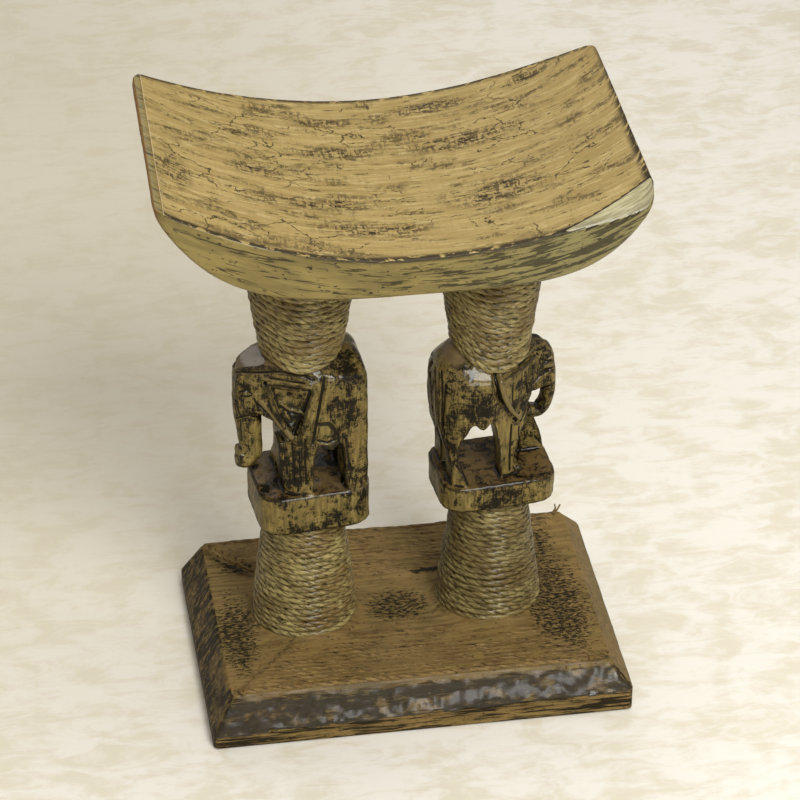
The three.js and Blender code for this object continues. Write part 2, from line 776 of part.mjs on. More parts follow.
// One billet: drum, plinth, figure and neck, with its sockets, in the pillar's own frame
function makePillar(pillar) {
  const drumTop = pillar.plinthBottom + overrun;
  const drum = turned([
    [0, baseHeight],
    [coreRadius(pillar.drumFootRadius), baseHeight],
    [coreRadius(drumRadius(pillar, drumTop)), drumTop],
    [0, drumTop],
  ], drumSides);
  const halfX = pillar.plinthLength / 2;
  const halfY = pillar.plinthDepth / 2;
  const edge = pillar.plinthEdge;
  const plinthRing = (inset, z) => roundedRing(
    pillar.plinthOffset, halfX - inset, halfY - inset, pillar.plinthCorner, () => z);
  const plinth = loft([
    plinthRing(edge, pillar.plinthBottom),
    plinthRing(0, pillar.plinthBottom + edge),
    plinthRing(0, pillar.plinthTop - edge),
    plinthRing(edge, pillar.plinthTop),
  ]).rotateZ(THREE.MathUtils.degToRad(pillar.turnDegrees));
  const neckFoot = pillar.plinthTop + pillar.shoulderHeight - pillar.ridgeHalf;
  const neckHead = seatUnderside(neckX(pillar)) + 2 * seatDowelDepth;
  const neck = turned([
    [0, neckFoot],
    [coreRadius(pillar.neckFootRadius), neckFoot],
    [coreRadius(pillar.neckFootRadius), pillar.plinthTop + pillar.backHeight],
    [coreRadius(neckRadius(pillar, neckHead)), neckHead],
    [0, neckHead],
  ], drumSides).translate(pillar.neckOffset, 0, 0);

  let figure = solidOf(sawnFigure(pillar)).intersect(solidOf(figureEnvelope(pillar)));
  figure = figure.subtract(solidOf(legSlot(pillar)));
  if (pillar.heelStep > 0) figure = figure.subtract(solidOf(heelCutter(pillar)));
  figure = figure.add(solidOf(steppingLeg(pillar))).add(solidOf(trunk(pillar)));
  for (const side of [-1, 1]) figure = figure.add(solidOf(ear(pillar, side)));
  const facing = solidOf(geometryOf(figure).rotateZ(figureTurn(pillar)));

  let solid = solidOf(drum).add(solidOf(plinth)).add(facing).add(solidOf(neck));
  solid = solid.subtract(solidOf(seatCutter(pillar)));
  const dowelHigh = baseHeight - baseDowelDepth + baseDowelLength + fitClearance;
  solid = solid.subtract(solidOf(dowelSocket(baseHeight - overrun, dowelHigh)));
  const dowelLow = seatDowelTop(neckX(pillar)) - seatDowelLength - fitClearance;
  const neckSocket = dowelSocket(dowelLow, neckHead).translate(pillar.neckOffset, 0, 0);
  solid = solid.subtract(solidOf(neckSocket));
  for (const place of screwPlaces) {
    solid = solid.subtract(solidOf(screwShape(fitClearance, 0).translate(0, place.y, 0)));
  }
  return geometryOf(solid);
}

// One unbroken cord wound in even turns. lowAt and highAt give the height of its first
// and last turn at an angle, and radiusAt its outer radius at a height. Its ends run
// straight for one diameter.
function winding(name, turns, radiusAt, lowAt, highAt) {
  const count = turns * windingSteps;
  const centreAt = (i) => {
    const turn = (2 * Math.PI * i) / windingSteps;
    const low = lowAt(turn);
    const z = low + (highAt(turn) - low) * (i / count);
    const radius = radiusAt(z) - cordDiameter / 2;
    return new THREE.Vector3(radius * Math.cos(turn), radius * Math.sin(turn), z);
  };
  const centres = [];
  for (let i = 0; i <= count; i += 1) centres.push(centreAt(i));
  const startWay = new THREE.Vector3().subVectors(centreAt(-1), centreAt(1)).normalize();
  const endWay = new THREE.Vector3().subVectors(centreAt(count + 1), centreAt(count - 1)).normalize();
  centres.unshift(centres[0].clone().addScaledVector(startWay, cordDiameter));
  centres.push(centres[centres.length - 1].clone().addScaledVector(endWay, cordDiameter));
  const rings = centres.map((centre, i) => {
    const before = centres[Math.max(0, i - 1)];
    const after = centres[Math.min(centres.length - 1, i + 1)];
    const along = new THREE.Vector3().subVectors(after, before).normalize();
    const out = new THREE.Vector3(centre.x, centre.y, 0).normalize();
    out.addScaledVector(along, -out.dot(along)).normalize();
    const up = new THREE.Vector3().crossVectors(out, along);
    const ring = [];
    for (let s = 0; s < windingSides; s += 1) {
      const turn = (2 * Math.PI * s) / windingSides;
      ring.push(centre.clone()
        .addScaledVector(out, (cordDiameter / 2) * Math.cos(turn))
        .addScaledVector(up, (cordDiameter / 2) * Math.sin(turn)));
    }
    return ring;
  });
  let least = Infinity;
  for (let a = 0; a < rings.length; a += 1) {
    for (let b = a + Math.floor(windingSteps / 2); b < rings.length; b += 1) {
      for (const p of rings[a]) {
        for (const q of rings[b]) least = Math.min(least, p.distanceTo(q));
      }
    }
  }
  console.log(`${name}: ${turns} turns, least gap to itself ${least.toFixed(2)} mm`);
  return loft(rings);
}

// The cord round a drum lies between the base and the plinth
function drumWinding(pillar) {
  const inset = cordDiameter / 2 + cordClearance;
  const low = baseHeight + inset;
  const high = pillar.plinthBottom - inset;
  const radiusAt = (z) => drumRadius(pillar, z);
  return winding(`${pillar.name}_lower_winding`, pillar.drumTurns, radiusAt, () => low, () => high);
}

// The cord round a neck starts on the figure's back and ends under the seat
function neckWinding(pillar) {
  const inset = cordDiameter / 2 + cordClearance;
  const radiusAt = (z) => neckRadius(pillar, z);
  const footRadius = pillar.neckFootRadius;
  const headRadius = pillar.neckHeadRadius;
  const halfStep = Math.PI / windingSteps;
  const lowAt = (turn) => {
    const under = [turn - halfStep, turn, turn + halfStep].flatMap((angle) => (
      [footRadius, footRadius - cordDiameter].map((radius) => backAt(
        pillar, pillar.neckOffset + radius * Math.cos(angle), radius * Math.sin(angle)))));
    return Math.max(...under) + inset - cordClearance;
  };
  const highAt = (turn) => {
    const outer = neckX(pillar) + headRadius * Math.cos(turn);
    const inner = neckX(pillar) + (headRadius - cordDiameter) * Math.cos(turn);
    return Math.min(seatUnderside(outer), seatUnderside(inner)) - inset - cordClearance;
  };
  return winding(`${pillar.name}_upper_winding`, pillar.neckTurns, radiusAt, lowAt, highAt)
    .translate(pillar.neckOffset, 0, 0);
}

// A field of parallel cords, mitred at both ends, ribbed along its length. side is -1
// for the front and 1 for the rear.
function cordField(side) {
  const rowWidth = (fieldOuterEdge - fieldInnerEdge) / fieldRows;
  const ribs = new THREE.Shape();
  ribs.moveTo(fieldInnerEdge, 0);
  for (let row = 0; row < fieldRows; row += 1) {
    for (let i = row === 0 ? 0 : 1; i <= ribSteps; i += 1) {
      const y = fieldInnerEdge + rowWidth * (row + i / ribSteps);
      const z = fieldValley + (fieldHeight - fieldValley) * Math.sin((Math.PI * i) / ribSteps);
      ribs.lineTo(y, z);
    }
  }
  ribs.lineTo(fieldOuterEdge, 0);
  ribs.closePath();
  const slab = new THREE.ExtrudeGeometry(ribs, { depth: fieldOuterLength, bevelEnabled: false })
    .rotateX(Math.PI / 2)
    .rotateZ(Math.PI / 2)
    .translate(-fieldOuterLength / 2, 0, 0);
  const plan = new THREE.Shape();
  plan.moveTo(-fieldOuterLength / 2, fieldOuterEdge + overrun);
  plan.lineTo(-fieldOuterLength / 2, fieldOuterEdge);
  plan.lineTo(-fieldInnerLength / 2, fieldInnerEdge);
  plan.lineTo(-fieldInnerLength / 2, fieldInnerEdge - overrun);
  plan.lineTo(fieldInnerLength / 2, fieldInnerEdge - overrun);
  plan.lineTo(fieldInnerLength / 2, fieldInnerEdge);
  plan.lineTo(fieldOuterLength / 2, fieldOuterEdge);
  plan.lineTo(fieldOuterLength / 2, fieldOuterEdge + overrun);
  plan.closePath();
  const mitre = new THREE.ExtrudeGeometry(plan, { depth: fieldHeight + 2 * overrun, bevelEnabled: false })
    .translate(0, 0, -overrun);
  let solid = solidOf(slab).intersect(solidOf(mitre));
  for (const pillar of [leftPillar, rightPillar]) {
    const radius = pillar.drumFootRadius + 2 * cordClearance;
    const round = turned([[0, -overrun], [radius, -overrun], [radius, fieldHeight + overrun],
      [0, fieldHeight + overrun]], drumSides);
    solid = solid.subtract(solidOf(round.translate(pillar.x - baseOffset, 0, 0)));
  }
  const field = geometryOf(solid);
  return (side < 0 ? mirroredY(field) : field).translate(0, 0, baseHeight);
}

const stool = new THREE.Group();

// Adds one named piece to a group
function place(group, name, geometry, material) {
  const mesh = new THREE.Mesh(geometry, material);
  mesh.name = name;
  group.add(mesh);
  return mesh;
}

place(stool, 'seat', makeSeat(), materials.seat);
place(stool, 'base', makeBase(), materials.base);

const fields = new THREE.Group();
fields.position.x = baseOffset;
place(fields, 'front_cord_field', cordField(-1), materials.cord);
place(fields, 'rear_cord_field', cordField(1), materials.cord);
stool.add(fields);

for (const pillar of [leftPillar, rightPillar]) {
  const group = new THREE.Group();
  group.position.x = pillar.x;
  const baseDowelFoot = baseHeight - baseDowelDepth;
  const seatDowelFoot = seatDowelTop(neckX(pillar)) - seatDowelLength;
  const seatDowel = dowel(seatDowelLength, seatDowelFoot).translate(pillar.neckOffset, 0, 0);
  place(group, `${pillar.name}_elephant_pillar`, makePillar(pillar), materials.pillar);
  place(group, `${pillar.name}_lower_winding`, drumWinding(pillar), materials.cord);
  place(group, `${pillar.name}_upper_winding`, neckWinding(pillar), materials.cord);
  place(group, `${pillar.name}_base_dowel`, dowel(baseDowelLength, baseDowelFoot), materials.dowel);
  place(group, `${pillar.name}_seat_dowel`, seatDowel, materials.dowel);
  for (const at of screwPlaces) {
    const screw = place(group, `${pillar.name}_base_screw_${at.name}`, screwShape(0, 0), materials.screw);
    screw.position.y = at.y;
  }
  stool.add(group);
}

export default stool;
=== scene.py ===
# %% [markdown]
# # A carved stool on two elephant pillars
# The stool is a dished hardwood seat on two carved pillars over a bevelled base. Jute cord
# is wound round the pillars and glued on the base, and the wood is painted by hand.
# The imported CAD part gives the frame: every piece below is placed from it, in metres.

import math

import bmesh
import bpy
import numpy as np
from mathutils import Matrix, Vector, noise
from mathutils.bvhtree import BVHTree


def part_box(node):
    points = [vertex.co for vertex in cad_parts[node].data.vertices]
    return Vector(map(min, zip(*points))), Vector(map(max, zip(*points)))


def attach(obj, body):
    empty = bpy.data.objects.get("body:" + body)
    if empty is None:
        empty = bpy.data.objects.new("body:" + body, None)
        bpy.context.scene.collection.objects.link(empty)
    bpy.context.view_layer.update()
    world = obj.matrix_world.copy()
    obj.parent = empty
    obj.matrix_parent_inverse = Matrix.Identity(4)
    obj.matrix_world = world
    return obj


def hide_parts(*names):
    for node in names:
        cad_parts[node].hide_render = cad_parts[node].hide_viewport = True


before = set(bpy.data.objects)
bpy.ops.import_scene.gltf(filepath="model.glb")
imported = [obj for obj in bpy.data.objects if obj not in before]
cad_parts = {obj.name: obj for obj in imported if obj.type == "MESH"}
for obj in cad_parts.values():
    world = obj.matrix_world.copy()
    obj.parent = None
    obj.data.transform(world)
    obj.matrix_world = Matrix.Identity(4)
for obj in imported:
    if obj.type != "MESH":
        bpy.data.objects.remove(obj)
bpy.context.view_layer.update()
MM = 0.001
print("nodes:", sorted(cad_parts))

# %% [markdown]
# ## The camera
# The photograph was taken with a long lens from above, a little to the left. Its place and
# its turn were found from the straight edges of the base and the plinths, so the render
# shows the stool in the photograph's own perspective. Nothing is shifted or blurred.

# %% Camera
FOCAL_LENGTH = 175.84
SENSOR_WIDTH = 36.0
EYE = Vector((-0.3705, -2.3208, 1.8084))
CAMERA_RIGHT = Vector((0.9873, -0.1590, 0.0048))
CAMERA_UP = Vector((0.0850, 0.5527, 0.8290))
NEAREST, FARTHEST = 0.05, 50.0


def linked(name, data):
    """A new object in the scene."""
    made = bpy.data.objects.new(name, data)
    bpy.context.scene.collection.objects.link(made)
    return made


lens = bpy.data.cameras.new("photo_camera")
lens.lens = FOCAL_LENGTH
lens.sensor_width = SENSOR_WIDTH
lens.clip_start = NEAREST
lens.clip_end = FARTHEST
camera = linked("photo_camera", lens)
back = CAMERA_RIGHT.cross(CAMERA_UP).normalized()
right = CAMERA_UP.cross(back).normalized()
turn = Matrix((right, back.cross(right), back)).transposed()
camera.matrix_world = Matrix.Translation(EYE) @ turn.to_4x4()
bpy.context.scene.camera = camera
bpy.context.scene.view_settings.view_transform = "Standard"
print("camera looks down by", round(math.degrees(math.asin(back.z)), 1), "degrees")

# %% [markdown]
# ## Colours and nodes
# Colours are picked as sRGB hex values and turned to linear light. One small function adds
# a node with its settings and its links, so that a material reads as a list of steps.

# %% Colours and nodes
def linear(colour):
    """A linear RGBA colour from an sRGB hex value, by the curve of the sRGB standard."""
    channels = [int(colour[i : i + 2], 16) / 255 for i in (1, 3, 5)]
    return [c / 12.92 if c <= 0.04045 else ((c + 0.055) / 1.055) ** 2.4 for c in channels] + [1.0]


def add(tree, kind, sockets, **settings):
    """Adds a node. sockets maps an input's name or number to a value or to an output."""
    node = tree.nodes.new(kind)
    for key, value in settings.items():
        setattr(node, key, value)
    for key, value in sockets.items():
        if isinstance(value, bpy.types.NodeSocket):
            tree.links.new(value, node.inputs[key])
        else:
            node.inputs[key].default_value = value
    return node.outputs


def new_material(name):
    """A node material and its empty tree."""
    material = bpy.data.materials.new(name)
    material.use_nodes = True
    material.node_tree.nodes.clear()
    return material, material.node_tree


print("ochre in linear light:", [round(c, 3) for c in linear("#97804c")[:3]])

# %% [markdown]
# ## Finish: painted wood
# The carver painted the hardwood near black, dragged ochre paint over it with a dry brush
# and sealed it with a clear varnish. The top coat breaks up into streaks along the strokes,
# it is rubbed off in patches and on edges, and it has fine cracks. Noise that is stretched
# along the strokes gives the streaks, a broad noise the patches, and cell edges the cracks.
# Each step below takes an output, and finds by id_data the node tree that the output is in.

# %% Shader steps
def noise_at(place, sizes, detail=4.0, roughness=0.6, distortion=0.0, turn=(0, 0, 0)):
    """Noise whose lumps have the given sizes in mm along the three axes."""
    tree = place.id_data
    scaled = add(tree, "ShaderNodeMapping", {"Vector": place, "Rotation": turn,
                                             "Scale": [1 / MM / size for size in sizes]})["Vector"]
    return add(tree, "ShaderNodeTexNoise", {"Vector": scaled, "Scale": 1.0, "Detail": detail,
                                            "Roughness": roughness, "Distortion": distortion})["Fac"]


def ramp(value, low, high, bottom=0.0, top=1.0):
    """A soft step of a value between two levels."""
    return add(value.id_data, "ShaderNodeMapRange", {"Value": value, "From Min": low, "From Max": high,
                                                     "To Min": bottom, "To Max": top},
               interpolation_type="SMOOTHSTEP")["Result"]


def combine(operation, first, *others):
    """Several values put together by one operation."""
    for other in others:
        first = add(first.id_data, "ShaderNodeMath", {0: first, 1: other}, operation=operation)[0]
    return first


def both(*shares):
    """What lies within all of several patterns, each from 0 to 1."""
    return combine("MULTIPLY", *shares)


def either(*shares):
    """What lies within any of several patterns, each from 0 to 1."""
    return combine("MAXIMUM", *shares)


def weighed(*pairs):
    """The sum of several values, each times its weight."""
    return combine("ADD", *(combine("MULTIPLY", value, weight) for value, weight in pairs))


def part(vector, axis):
    """One part of a place or a direction."""
    return add(vector.id_data, "ShaderNodeSeparateXYZ", {0: vector})[axis]


def tint(share, first, second):
    """A mix of two colours, each an output or an sRGB hex value."""
    first, second = (linear(c) if isinstance(c, str) else c for c in (first, second))
    return add(share.id_data, "ShaderNodeMix", {0: share, 6: first, 7: second}, data_type="RGBA")[2]

# %% [markdown]
# ### Wear, cracks and varnish
# Hands and feet wear some places more than others, so a soft ellipsoid picks a place. Cracks
# wander, so the edges of noise cells are shaken by a second noise. Clear varnish is a coat
# over the paint, and one bump gives the paint its relief.

# %% Wear, cracks and varnish
VARNISH_IOR = 1.5
CORE_SHARE = 0.35
WOBBLE_SCALE = 150.0
WOBBLE_REACH = 0.009


def near(place, centre, radii, turn=0.0):
    """1 at a place in mm and 0 beyond the radii in mm round it, turned about the upright."""
    tree = place.id_data
    scaled = add(tree, "ShaderNodeMapping", {
        "Vector": place, "Location": [c * MM for c in centre], "Rotation": (0, 0, turn),
        "Scale": [r * MM for r in radii],
    }, vector_type="TEXTURE")["Vector"]
    far = add(tree, "ShaderNodeVectorMath", {0: scaled}, operation="LENGTH")["Value"]
    return ramp(far, CORE_SHARE, 1.0, 1.0, 0.0)


def near_any(place, spots):
    """1 at any of several places and 0 away from them all."""
    return either(*(near(place, *spot) for spot in spots))


def cell_lines(place, sizes, width):
    """Thin wandering lines round cells of the given sizes in mm."""
    tree = place.id_data
    wobble = add(tree, "ShaderNodeTexNoise", {"Vector": place, "Scale": WOBBLE_SCALE,
                                              "Detail": 3.0})["Color"]
    shaken = add(tree, "ShaderNodeVectorMath", {0: wobble, "Scale": WOBBLE_REACH},
                 operation="SCALE")["Vector"]
    moved = add(tree, "ShaderNodeVectorMath", {0: place, 1: shaken}, operation="ADD")["Vector"]
    celled = add(tree, "ShaderNodeMapping", {"Vector": moved,
                                             "Scale": [1 / MM / size for size in sizes]})["Vector"]
    edge = add(tree, "ShaderNodeTexVoronoi", {"Vector": celled, "Scale": 1.0},
               feature="DISTANCE_TO_EDGE")["Distance"]
    return ramp(edge, 0.0, width, 1.0, 0.0)


def object_place(tree):
    """Where a point lies on the piece, in metres."""
    return add(tree, "ShaderNodeTexCoord", {})["Object"]


def stored(tree, name, output="Fac"):
    """What a mesh keeps at each point under a name."""
    return add(tree, "ShaderNodeAttribute", {}, attribute_name=name)[output]


def facing(tree, axis):
    """How far the surface faces along an axis, from -1 to 1."""
    return part(add(tree, "ShaderNodeNewGeometry", {})["Normal"], axis)


def varnished(colour, roughness, height, relief_mm, varnish, varnish_roughness, shine):
    """Paint of a colour with a fine relief under clear varnish, as the material's surface."""
    tree = colour.id_data
    bump = add(tree, "ShaderNodeBump", {"Height": height, "Strength": 1.0,
                                        "Distance": relief_mm * MM})["Normal"]
    shader = add(tree, "ShaderNodeBsdfPrincipled", {
        "Base Color": colour, "Roughness": roughness, "Normal": bump, "IOR": VARNISH_IOR,
        "Specular IOR Level": shine, "Coat Weight": varnish, "Coat Roughness": varnish_roughness,
    })["BSDF"]
    add(tree, "ShaderNodeOutputMaterial", {"Surface": shader})

# %% [markdown]
# ### Seat paint
# The top is ochre with long brush streaks. Dark undercoat shows in short dashes crossed by
# fine ticks, in thin lines, in a few long cracks and along the rim.

# %% Seat paint
OCHRE_DEEP, OCHRE_PALE = "#97804c", "#ad965f"
OCHRE_CLOUD, OCHRE_LIGHT = "#a58b57", "#c6b27f"
SOILED_OCHRE, UNDERCOAT = "#6d5a34", "#2a2114"
FACET_DARK, FACET_LIGHT = "#7f7957", "#aaa37e"
# A pale line along the left end's arris is painted highlight.
END_ARRIS_HIGHLIGHT = "#cfc6a8"
# The large dark patches of the photograph, as a place and its reach in mm: along the board
# and across it from the front arris.
SEAT_PATCHES = (((44, 196, 0), (46, 11, 99)), ((60, 144, 0), (60, 15, 99)), ((-34, 142, 0), (46, 13, 99)),
                ((-50, 70, 0), (56, 12, 99)), ((70, 70, 0), (52, 22, 99)), ((-20, 38, 0), (60, 12, 99)),
                ((-92, 106, 0), (28, 13, 99)), ((120, 199, 0), (24, 8, 99)), ((-33, 184, 0), (36, 9, 99)),
                ((-154, 67, 0), (18, 32, 99)))


def seat_top_paint():
    """Ochre dragged over near black along the board, and greyer on the cut corner."""
    material, tree = new_material("seat_ochre_paint")
    place, rim, facet = stored(tree, "grain", "Vector"), stored(tree, "rim"), stored(tree, "facet")
    coat = tint(ramp(noise_at(place, (90, 5, 5), 5), 0.36, 0.64), OCHRE_DEEP, OCHRE_PALE)
    coat = tint(ramp(noise_at(place, (60, 28, 28), 3), 0.35, 0.7, 0.0, 0.35), coat, OCHRE_CLOUD)
    fine = noise_at(place, (26, 3.2, 3.2), 4, 0.7)
    coat = tint(ramp(fine, 0.54, 0.62, 0.0, 0.5), coat, OCHRE_LIGHT)
    coat = tint(ramp(noise_at(place, (2.4, 24, 24), 3), 0.5, 0.62, 0.0, 0.3), coat, OCHRE_DEEP)
    ragged = ramp(noise_at(place, (34, 5, 5), 4), 0.36, 0.5)
    patch = either(ramp(noise_at(place, (52, 20, 20), 4, 0.6, 0.4), 0.49, 0.63, 0.0, 0.75),
                   both(near_any(place, SEAT_PATCHES), ragged))
    dash = ramp(noise_at(place, (14, 4.2, 4.2), 4, 0.7), 0.49, 0.53)
    crumb = ramp(noise_at(place, (3.2, 4.5, 4.5), 3, 0.7), 0.42, 0.5)
    tick = ramp(noise_at(place, (2.5, 13, 13), 3, 0.6), 0.53, 0.57, 0.0, 0.75)
    marks = both(either(both(dash, crumb), tick), patch)
    thin = both(ramp(noise_at(place, (24, 3.6, 3.6), 5, 0.75), 0.6, 0.63, 0.0, 0.85), crumb)
    cracked = ramp(noise_at(place, (60, 45, 45), 2), 0.5, 0.56)
    cracks = both(cell_lines(place, (30, 19, 19), 0.035), cracked, crumb)
    edge = both(ramp(rim, 1.6, 7.0, 1.0, 0.0), ramp(noise_at(place, (9, 5, 5), 4), 0.42, 0.48))
    ends = both(ramp(rim, 2.0, 14.0, 0.9, 0.0), patch, crumb)
    flat = ramp(facet, 0.4, 0.55)
    dark = both(either(marks, thin, cracks, edge, ends), ramp(flat, 0.0, 1.0, 1.0, 0.25))
    soil = both(patch, ramp(noise_at(place, (20, 6, 6), 4), 0.4, 0.6, 0.0, 0.4))
    plane = tint(ramp(fine, 0.4, 0.6), FACET_DARK, FACET_LIGHT)
    colour = tint(both(flat, 0.9), tint(soil, coat, SOILED_OCHRE), plane)
    colour = tint(both(dark, 0.95), colour, UNDERCOAT)
    outline = both(ramp(facet, 0.02, 0.1), ramp(facet, 0.45, 0.6, 0.95, 0.0))
    colour = tint(outline, colour, UNDERCOAT)
    # Painted highlight: a thin pale line along the left end's arris.
    colour = tint(ramp(part(place, "X"), -0.1656, -0.1646, 0.85, 0.0), colour, END_ARRIS_HIGHLIGHT)
    height = combine("SUBTRACT", both(fine, 0.5), dark)
    varnished(colour, ramp(flat, 0.0, 1.0, 0.5, 0.3), height, relief_mm=0.35,
              varnish=ramp(flat, 0.0, 1.0, 0.03, 0.5), varnish_roughness=0.24, shine=0.12)
    return material


seat_paint = seat_top_paint()
print(seat_paint.name, len(seat_paint.node_tree.nodes), "nodes")

# %% [markdown]
# ### Paint of the seat's edges
# The long edges of the board are more olive, with wavy dark lines and a painted highlight
# along the arris at the left. The end faces are orange brown. The grain's place runs on over
# the arris, so that the strokes of the edges follow the board too.

# %% Paint of the seat's edges
OLIVE_DEEP, OLIVE_PALE = "#75673a", "#8c7b46"
OLIVE_GREY, OLIVE_LINES = "#7c7a54", "#1f180d"
# The pale colour of the front arris at the left is painted highlight.
END_BROWN, LEFT_ARRIS_HIGHLIGHT = "#8a6233", "#c3bb9c"


def seat_face_paint():
    """Olive with wavy dark lines on the long edges, and orange brown on the end faces."""
    material, tree = new_material("seat_olive_edge_paint")
    place, drop = stored(tree, "grain", "Vector"), stored(tree, "drop")
    along = part(place, "X")
    strokes = noise_at(place, (50, 9, 9), 4, distortion=0.4)
    coat = tint(ramp(strokes, 0.36, 0.64), OLIVE_DEEP, OLIVE_PALE)
    ends = both(ramp(combine("ABSOLUTE", facing(tree, "X"), 0.0), 0.2, 0.45),
                ramp(combine("ABSOLUTE", facing(tree, "Y"), 0.0), 0.4, 0.7, 0.9, 0.0))
    coat = tint(ends, coat, END_BROWN)
    coat = tint(ramp(along, 0.0, 0.12, 0.0, 0.5), coat, OLIVE_GREY)
    wavy = noise_at(place, (36, 3.4, 3.4), 5, 0.65, 0.9)
    level = combine("ADD", wavy, both(ramp(along, -0.12, 0.02, 0.12, 0.065), -0.75))
    thin = both(ramp(noise_at(place, (24, 2.8, 2.8), 4, 0.6, 0.7), 0.56, 0.59, 0.0, 0.85),
                ramp(along, -0.03, 0.05))
    spots = ramp(noise_at(place, (6, 4, 4), 4), 0.62, 0.68)
    arris = both(ramp(drop, 1.0, 5.0, 1.0, 0.0), ramp(noise_at(place, (14, 3, 3), 4), 0.36, 0.48),
                 ramp(along, -0.09, -0.05))
    dark = either(ramp(level, 0.49, 0.54, 0.0, 0.9), thin, spots, arris)
    dark = both(dark, ramp(ends, 0.0, 1.0, 0.9, 0.35))
    colour = tint(dark, coat, OLIVE_LINES)
    # Painted highlight along the front arris at the left.
    arris_highlight = both(ramp(drop, 0.4, 2.4, 0.8, 0.0), ramp(along, -0.1, -0.085, 1.0, 0.0),
                ramp(along, -0.163, -0.16))
    colour = tint(arris_highlight, colour, LEFT_ARRIS_HIGHLIGHT)
    height = combine("SUBTRACT", strokes, dark)
    varnished(colour, 0.42, height, relief_mm=0.4, varnish=ramp(ends, 0.0, 1.0, 0.3, 0.02),
              varnish_roughness=0.2, shine=0.12)
    return material


seat_face = seat_face_paint()
print(seat_face.name, len(seat_face.node_tree.nodes), "nodes")

# %% [markdown]
# ### Base paint
# The base is russet brown over black. The brown is rubbed off in speckled patches at both
# ends and between the drums, the left bevel shows slanting tool marks, and the front bevel
# is nearly black under thick varnish.

# %% Base paint
RUSSET_DEEP, RUSSET_PALE = "#66532f", "#846f41"
RUSSET_CLOUD, BASE_BLACK = "#8d7144", "#15120a"
BASE_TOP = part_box("base")[1].z
# Where the brown is rubbed through, the last spot being painted shadow under the lifted rear-left
# cord end, and painted shadow in the gaps under lifted cord edges: a place and its reach in mm,
# and a turn.
RUBBED_AND_SHADOW_SPOTS = (((128, -20, 38), (34, 95, 30)), ((-114, -22, 38), (21, 66, 30)), ((10, -4, 38), (34, 26, 30)),
              ((118, 60, 38), (30, 40, 30)), ((-106, 60, 38), (18, 10, 30)))
GAP_SHADOWS = (((37, 35.5, 40), (17, 3.5, 20)), ((-109.5, 65.5, 40), (20, 2.6, 20), -0.765))


def base_top_paint():
    """Russet over black, with a nearly black front bevel under thick varnish."""
    material, tree = new_material("base_russet_paint")
    place = object_place(tree)
    strokes = noise_at(place, (40, 3, 3), 5)
    coat = tint(ramp(strokes, 0.35, 0.65), RUSSET_DEEP, RUSSET_PALE)
    coat = tint(ramp(noise_at(place, (30, 26, 30), 4), 0.4, 0.66, 0.0, 0.6), coat, RUSSET_CLOUD)
    speckle = noise_at(place, (4.0, 1.8, 2.6), 6, 0.75)
    # Rubbed-through speckle. The last listed spot adds painted shadow under the lifted rear-left cord end.
    rubbed = ramp(combine("ADD", speckle, both(near_any(place, RUBBED_AND_SHADOW_SPOTS), 0.13)), 0.58, 0.66)
    left = ramp(combine("MULTIPLY", facing(tree, "X"), -1.0), 0.3, 0.5)
    marks = both(ramp(noise_at(place, (9, 4.6, 26), 5, 0.65, 0.4, (0.6, 0, 0)), 0.45, 0.49),
                 ramp(noise_at(place, (24, 34, 24), 3), 0.36, 0.48, 0.2, 1.0))
    front = ramp(combine("MULTIPLY", facing(tree, "Y"), -1.0), 0.25, 0.5)
    bevel = both(front, ramp(facing(tree, "Z"), 0.1, 0.3), 0.72)
    streaks = ramp(noise_at(place, (42, 5, 2.6), 5, 0.65, 0.5), 0.46, 0.54)
    sides = both(ramp(facing(tree, "Z"), 0.3, 0.75, 1.0, 0.0), streaks)
    brim = ramp(part(place, "Z"), BASE_TOP - 0.005, BASE_TOP - 0.001, 1.0, 0.25)
    thick = ramp(noise_at(place, (16, 10, 10), 4), 0.34, 0.5, 0.35, 0.95)
    cover = both(ramp(bevel, 0.0, 0.7), thick, brim)
    # Painted shadow in the gaps under the lifted cord edges.
    gap_shadows = both(near_any(place, GAP_SHADOWS), ramp(noise_at(place, (8, 3, 8), 4), 0.36, 0.54, 0.15, 1.0))
    dark = either(rubbed, both(left, marks), sides, cover, ramp(gap_shadows, 0.1, 0.5))
    colour = tint(both(dark, 0.93), coat, BASE_BLACK)
    pitted = both(noise_at(place, (4, 4, 3), 3), ramp(bevel, 0.0, 0.7, 0.0, 2.2))
    height = combine("ADD", weighed((strokes, 0.6), (dark, -0.6)), pitted)
    coating = both(ramp(bevel, 0.0, 0.7, 0.04, 0.75), brim)
    varnished(colour, ramp(bevel, 0.0, 0.7, 0.58, 0.4), height, relief_mm=0.4, varnish=coating,
              varnish_roughness=0.26, shine=0.1)
    return material


base_paint = base_top_paint()
print(base_paint.name, len(base_paint.node_tree.nodes), "nodes")

# %% [markdown]
# ### Carving paint
# On the carvings the olive coat stays on the flats. It is rubbed through to glossy black on
# the edges and breaks up into blotches and upright strokes. Painted shade darkens the hollows
# and the gouge cuts, a painted highlight lightens the ridges, and painted sheen lightens the
# level tops over their own brown.

# %% Carving paint
CARVING_DEEP, CARVING_PALE = "#63552e", "#8a7844"
CARVING_CLOUD, CARVING_BLACK = "#78653a", "#0f0b06"
LEDGE_BROWN, TOP_SHEEN_BROWN = "#604a2a", "#7a6647"
# The pale tint of the ridges left standing is painted highlight.
RIDGE_HIGHLIGHT = "#a38f60"
# The photograph's darker and lighter flats, and its level tops, which get painted sheen over
# their own brown: a place and its reach in mm.
CARVING_DARKS = (((52, -25, 235), (26, 45, 24)), ((-35, -25, 241), (15, 45, 28)),
                 ((-88, -25, 205), (9, 45, 30)))
CARVING_LIGHTS = (((-22, -25, 212), (11, 45, 40)), ((76, -25, 203), (46, 45, 15)),
                  ((-50, -25, 222), (9, 45, 34)))
SHEEN_TOPS = (((-93, -8, 272), (26, 36, 18)), ((47, -12, 268), (14, 30, 12)),
                ((-28, -20, 160), (26, 20, 14)))


